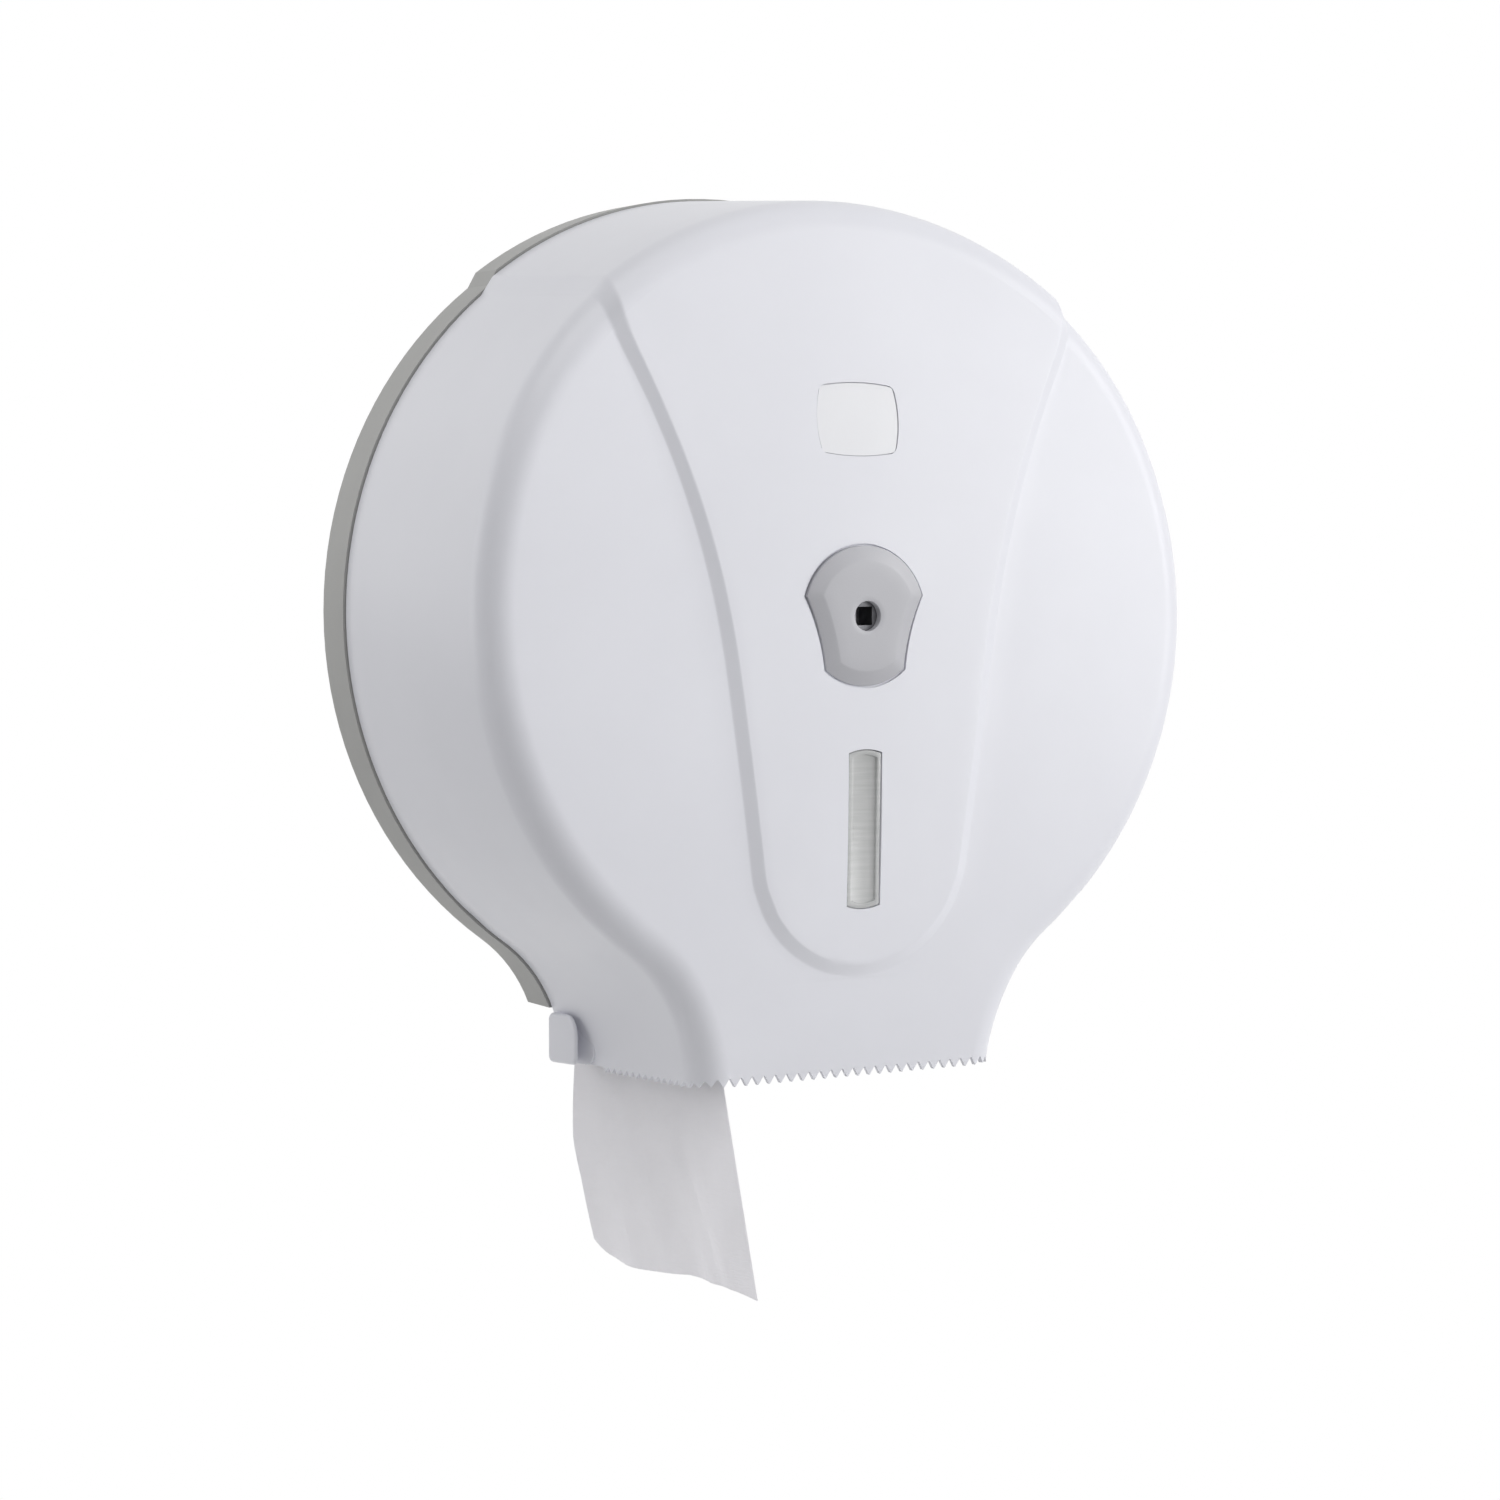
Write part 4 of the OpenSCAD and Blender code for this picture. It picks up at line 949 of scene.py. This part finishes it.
def tissue(name):
    """Two-ply tissue, creped along its width and softly pressed. Gives its nodes and normal."""
    m = Nodes(name)
    m.set(Roughness=0.95, Specular_IOR_Level=0.15, Sheen_Weight=0.25, Sheen_Roughness=0.6)
    crepe = m.bump(m.noise(500, 3, (3.0, 0.25, 3.0)), 0.00012)
    crinkled = m.bump(m.noise(55, 3, (1.0, 1.6, 0.5)), 0.0009, onto=crepe)
    dots = m.add("ShaderNodeTexVoronoi", scale=420)
    m.link(m.coords(), dots.inputs["Vector"])
    return m, m.bump(dots.outputs["Distance"], 0.00005, 0.6, onto=crinkled)


def sheet_material():
    """Single sheet of tissue, which lets light through."""
    m, normal = tissue("tissue")
    m.drive("Base Color", m.ramp(m.noise(45, 4), (0.895, 0.89, 0.91), (0.945, 0.94, 0.96)))
    m.drive("Normal", normal)
    through = m.add("ShaderNodeBsdfTranslucent")
    through.inputs["Color"].default_value = (0.94, 0.935, 0.95, 1)
    m.link(normal, through.inputs["Normal"])
    both = m.add("ShaderNodeMixShader", fac=0.45)
    m.link(m.shader.outputs["BSDF"], both.inputs[1])
    m.link(through.outputs["BSDF"], both.inputs[2])
    m.link(both.outputs["Shader"], m.tree.nodes["Material Output"].inputs["Surface"])
    return m.material


def wound_material():
    """Wound tissue: its layers show as rings about the roll's axis."""
    m, normal = tissue("wound_tissue")
    separate = m.add("ShaderNodeSeparateXYZ")
    m.link(m.coords(), separate.inputs["Vector"])
    flat = m.add("ShaderNodeCombineXYZ")
    m.link(separate.outputs["X"], flat.inputs["X"])
    m.link(separate.outputs["Z"], flat.inputs["Y"])
    radius = m.add("ShaderNodeVectorMath", operation="LENGTH")
    m.link(flat.outputs["Vector"], radius.inputs[0])
    rings = m.add("ShaderNodeTexNoise", noise_dimensions="1D", scale=1400, detail=4)
    m.link(radius.outputs["Value"], rings.inputs["W"])
    m.drive("Base Color", m.ramp(rings.outputs["Fac"], (0.74, 0.74, 0.75), (0.9, 0.9, 0.91)))
    m.drive("Normal", m.bump(rings.outputs["Fac"], 0.0004, 0.8, onto=normal))
    return m.material


def card_material():
    """Rough cardboard with fine fibres."""
    m = Nodes("grey_card")
    m.set(Roughness=0.9)
    m.drive("Base Color", m.ramp(m.noise(700, 5), (0.42, 0.33, 0.22), (0.56, 0.45, 0.32)))
    m.drive("Normal", m.bump(m.noise(1200, 4), 0.00003))
    return m.material


def clear_material():
    """Clear moulded window, a little cloudy, with faint level lines across it."""
    m = Nodes("clear_window")
    m.set(IOR=1.49, Alpha=0.5)
    lines = m.noise(260, 2, (0.2, 0.2, 3.0))
    m.drive("Base Color", m.ramp(lines, (0.86, 0.87, 0.865), (0.96, 0.97, 0.965), 0.3, 0.7))
    m.drive("Roughness", m.spread(m.noise(120), 0.08, 0.2))
    m.drive("Normal", m.bump(lines, 0.00012))
    return m.material


WHITE = plastic("white_abs", (0.795, 0.80, 0.852), (0.82, 0.825, 0.877), 0.36)
BADGE_WHITE = plastic("badge_white", (0.83, 0.835, 0.865), (0.86, 0.865, 0.89), 0.22,
                      wave_depth=0.00001)
HUB_WHITE = plastic("hub_white", (0.70, 0.70, 0.70), (0.76, 0.76, 0.76), 0.5)
GREY = plastic("plate_grey", (0.375, 0.375, 0.365), (0.415, 0.415, 0.405), 0.52,
               grain=1400, grain_depth=0.00003)
LOCK_GREY = plastic("lock_grey", (0.485, 0.485, 0.515), (0.52, 0.52, 0.55), 0.42,
                    grain=1600, grain_depth=0.00002)
STEEL = metal("zinc_plate", (0.50, 0.51, 0.53), (0.66, 0.66, 0.67), 0.34)
BARREL = metal("barrel_zinc", (0.10, 0.10, 0.11), (0.17, 0.17, 0.18), 0.45)
PAPER = sheet_material()
WOUND = wound_material()
CARD = card_material()
CLEAR = clear_material()


def dress(obj, material):
    """Gives every face of a piece or node that material."""
    slots = obj.material_slots
    if not slots:
        obj.data.materials.append(material)
    for s in slots:
        s.material = material


NODE_MATERIALS = {
    "back_plate": GREY, "spindle_post": GREY, "spindle_screws": STEEL, "hub_clip": STEEL,
    "spindle_hub": HUB_WHITE, "core_tube": CARD, "paper_roll": WOUND,
    "badge_blank": BADGE_WHITE, "lock_nut": GREY, "lock_barrel": BARREL,
    "lock_tongue": STEEL, "tongue_washer": STEEL, "tongue_screw": STEEL,
    "hinge_pin_left": STEEL, "hinge_pin_right": STEEL,
}
for node_name, node_material in NODE_MATERIALS.items():
    node_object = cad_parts[node_name]
    dress(node_object, node_material)
    smooth(node_object)


def piece(obj, body, material, slot, *nodes):
    """Finishes a piece: material, body and the nodes that it stands for. The slot is not used."""
    dress(obj, material)
    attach(obj, body)
    if nodes:
        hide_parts(*nodes)
    return obj


piece(make_cover(), "cover", WHITE, "white_plastic", "front_cover")
for block_side in (-1, 1):
    piece(make_hinge_block(block_side), "cover", WHITE, "white_plastic")
piece(make_teeth(), "cover", WHITE, "white_plastic")
piece(make_lock_boss(), "cover", WHITE, "white_plastic")
piece(make_lens(), "cover", CLEAR, "clear_plastic", "window_lens")
for stake_side in (-1, 1):
    piece(make_lens_stake(stake_side), "cover", WHITE, "white_plastic")
piece(make_escutcheon(), "cover", LOCK_GREY, "lock_grey", "lock_escutcheon")

tail = piece(make_tail(), "root", PAPER, "paper", "paper_tail")
middle = [web_point(0.5, i / 40) for i in range(40)] + [hang_point(0.5, i / 40) for i in range(41)]
sheet_length = sum(math.dist(a, b) for a, b in zip(middle, middle[1:])) * 0.001
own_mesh(tail)


# ---- Room, light and camera ----
AMBIENT = 0.24
FLOOR_SIZE = 8.0
FLOOR_Z = -0.75
LAMP_TARGET = Vector((0, -0.06, -0.02))
# Name, azimuth, elevation, distance, width, height and power of each lamp
SOFTBOXES = (
    ("key_right", 50, 12, 2.0, 1.2, 1.4, 22.6),
    ("side_left", -120, 10, 2.0, 1.0, 1.4, 8.0),
    ("top", 0, 80, 1.8, 1.2, 1.0, 2.6),
    ("front", 5, 15, 2.2, 1.4, 1.4, 4.0),
    ("top_front", 10, 50, 2.0, 1.4, 1.2, 1.4),
    ("top_left", -60, 60, 2.0, 1.2, 1.2, 8.4),
    ("behind_left", -150, 20, 2.0, 1.2, 1.4, 1.9),
)
CAMERA_AT = Vector((-0.57299, -1.05221, 0.02703))
CAMERA_AIM = Vector((-0.00867, -0.05794, -0.04611))
CAMERA_LENS = 81.95


def see_as_white(tree, plain):
    """Mix that is the plain shader to lamps and bounces. The caller links the white one in."""
    path = tree.nodes.new("ShaderNodeLightPath")
    seen = path.outputs["Is Camera Ray"]
    for other in ("Is Glossy Ray", "Is Transmission Ray"):
        add = tree.nodes.new("ShaderNodeMath")
        add.operation = "MAXIMUM"
        tree.links.new(seen, add.inputs[0])
        tree.links.new(path.outputs[other], add.inputs[1])
        seen = add.outputs[0]
    choose = tree.nodes.new("ShaderNodeMixShader")
    tree.links.new(seen, choose.inputs["Fac"])
    tree.links.new(plain, choose.inputs[1])
    return choose


def make_world():
    """White surroundings that give only soft light."""
    world = bpy.data.worlds.new("studio")
    bpy.context.scene.world = world
    world.use_nodes = True
    tree = world.node_tree
    ambient = tree.nodes["Background"]
    ambient.inputs["Color"].default_value = (1, 1, 1, 1)
    ambient.inputs["Strength"].default_value = AMBIENT
    white = tree.nodes.new("ShaderNodeBackground")
    white.inputs["Color"].default_value = (1, 1, 1, 1)
    choose = see_as_white(tree, ambient.outputs["Background"])
    tree.links.new(white.outputs["Background"], choose.inputs[2])
    tree.links.new(choose.outputs["Shader"], tree.nodes["World Output"].inputs["Surface"])


def make_floor():
    """White floor, far below."""
    bpy.ops.mesh.primitive_plane_add(size=FLOOR_SIZE, location=(0, 0, FLOOR_Z))
    floor = bpy.context.object
    floor.name = "floor"
    m = Nodes("floor_white")
    m.set(Roughness=0.9)
    m.shader.inputs["Base Color"].default_value = (0.8, 0.8, 0.8, 1)
    white = m.add("ShaderNodeEmission")
    choose = see_as_white(m.tree, m.shader.outputs["BSDF"])
    m.link(white.outputs["Emission"], choose.inputs[2])
    m.link(choose.outputs["Shader"], m.tree.nodes["Material Output"].inputs["Surface"])
    dress(floor, m.material)


def softbox(name, azimuth, elevation, distance, width, height, power):
    """Area lamp that looks at the case. Azimuth 0 is in front, and positive is to the right."""
    lamp = bpy.data.lights.new(name, "AREA")
    lamp.shape = "RECTANGLE"
    lamp.size, lamp.size_y = width, height
    lamp.energy = power
    a, e = math.radians(azimuth), math.radians(elevation)
    place = Vector((math.sin(a) * math.cos(e), -math.cos(a) * math.cos(e), math.sin(e))) * distance
    obj = bpy.data.objects.new(name, lamp)
    obj.location = place + LAMP_TARGET
    obj.rotation_euler = (-place).to_track_quat("-Z", "Y").to_euler()
    bpy.context.scene.collection.objects.link(obj)


make_world()
make_floor()
for softbox_row in SOFTBOXES:
    softbox(*softbox_row)

camera_data = bpy.data.cameras.new("camera")
camera_data.sensor_width = 36
camera_data.lens = CAMERA_LENS
camera = bpy.data.objects.new("camera", camera_data)
camera.location = CAMERA_AT
camera.rotation_euler = (CAMERA_AIM - CAMERA_AT).to_track_quat("-Z", "Y").to_euler()
bpy.context.scene.collection.objects.link(camera)
bpy.context.scene.camera = camera
bpy.context.scene.view_settings.view_transform = "Standard"
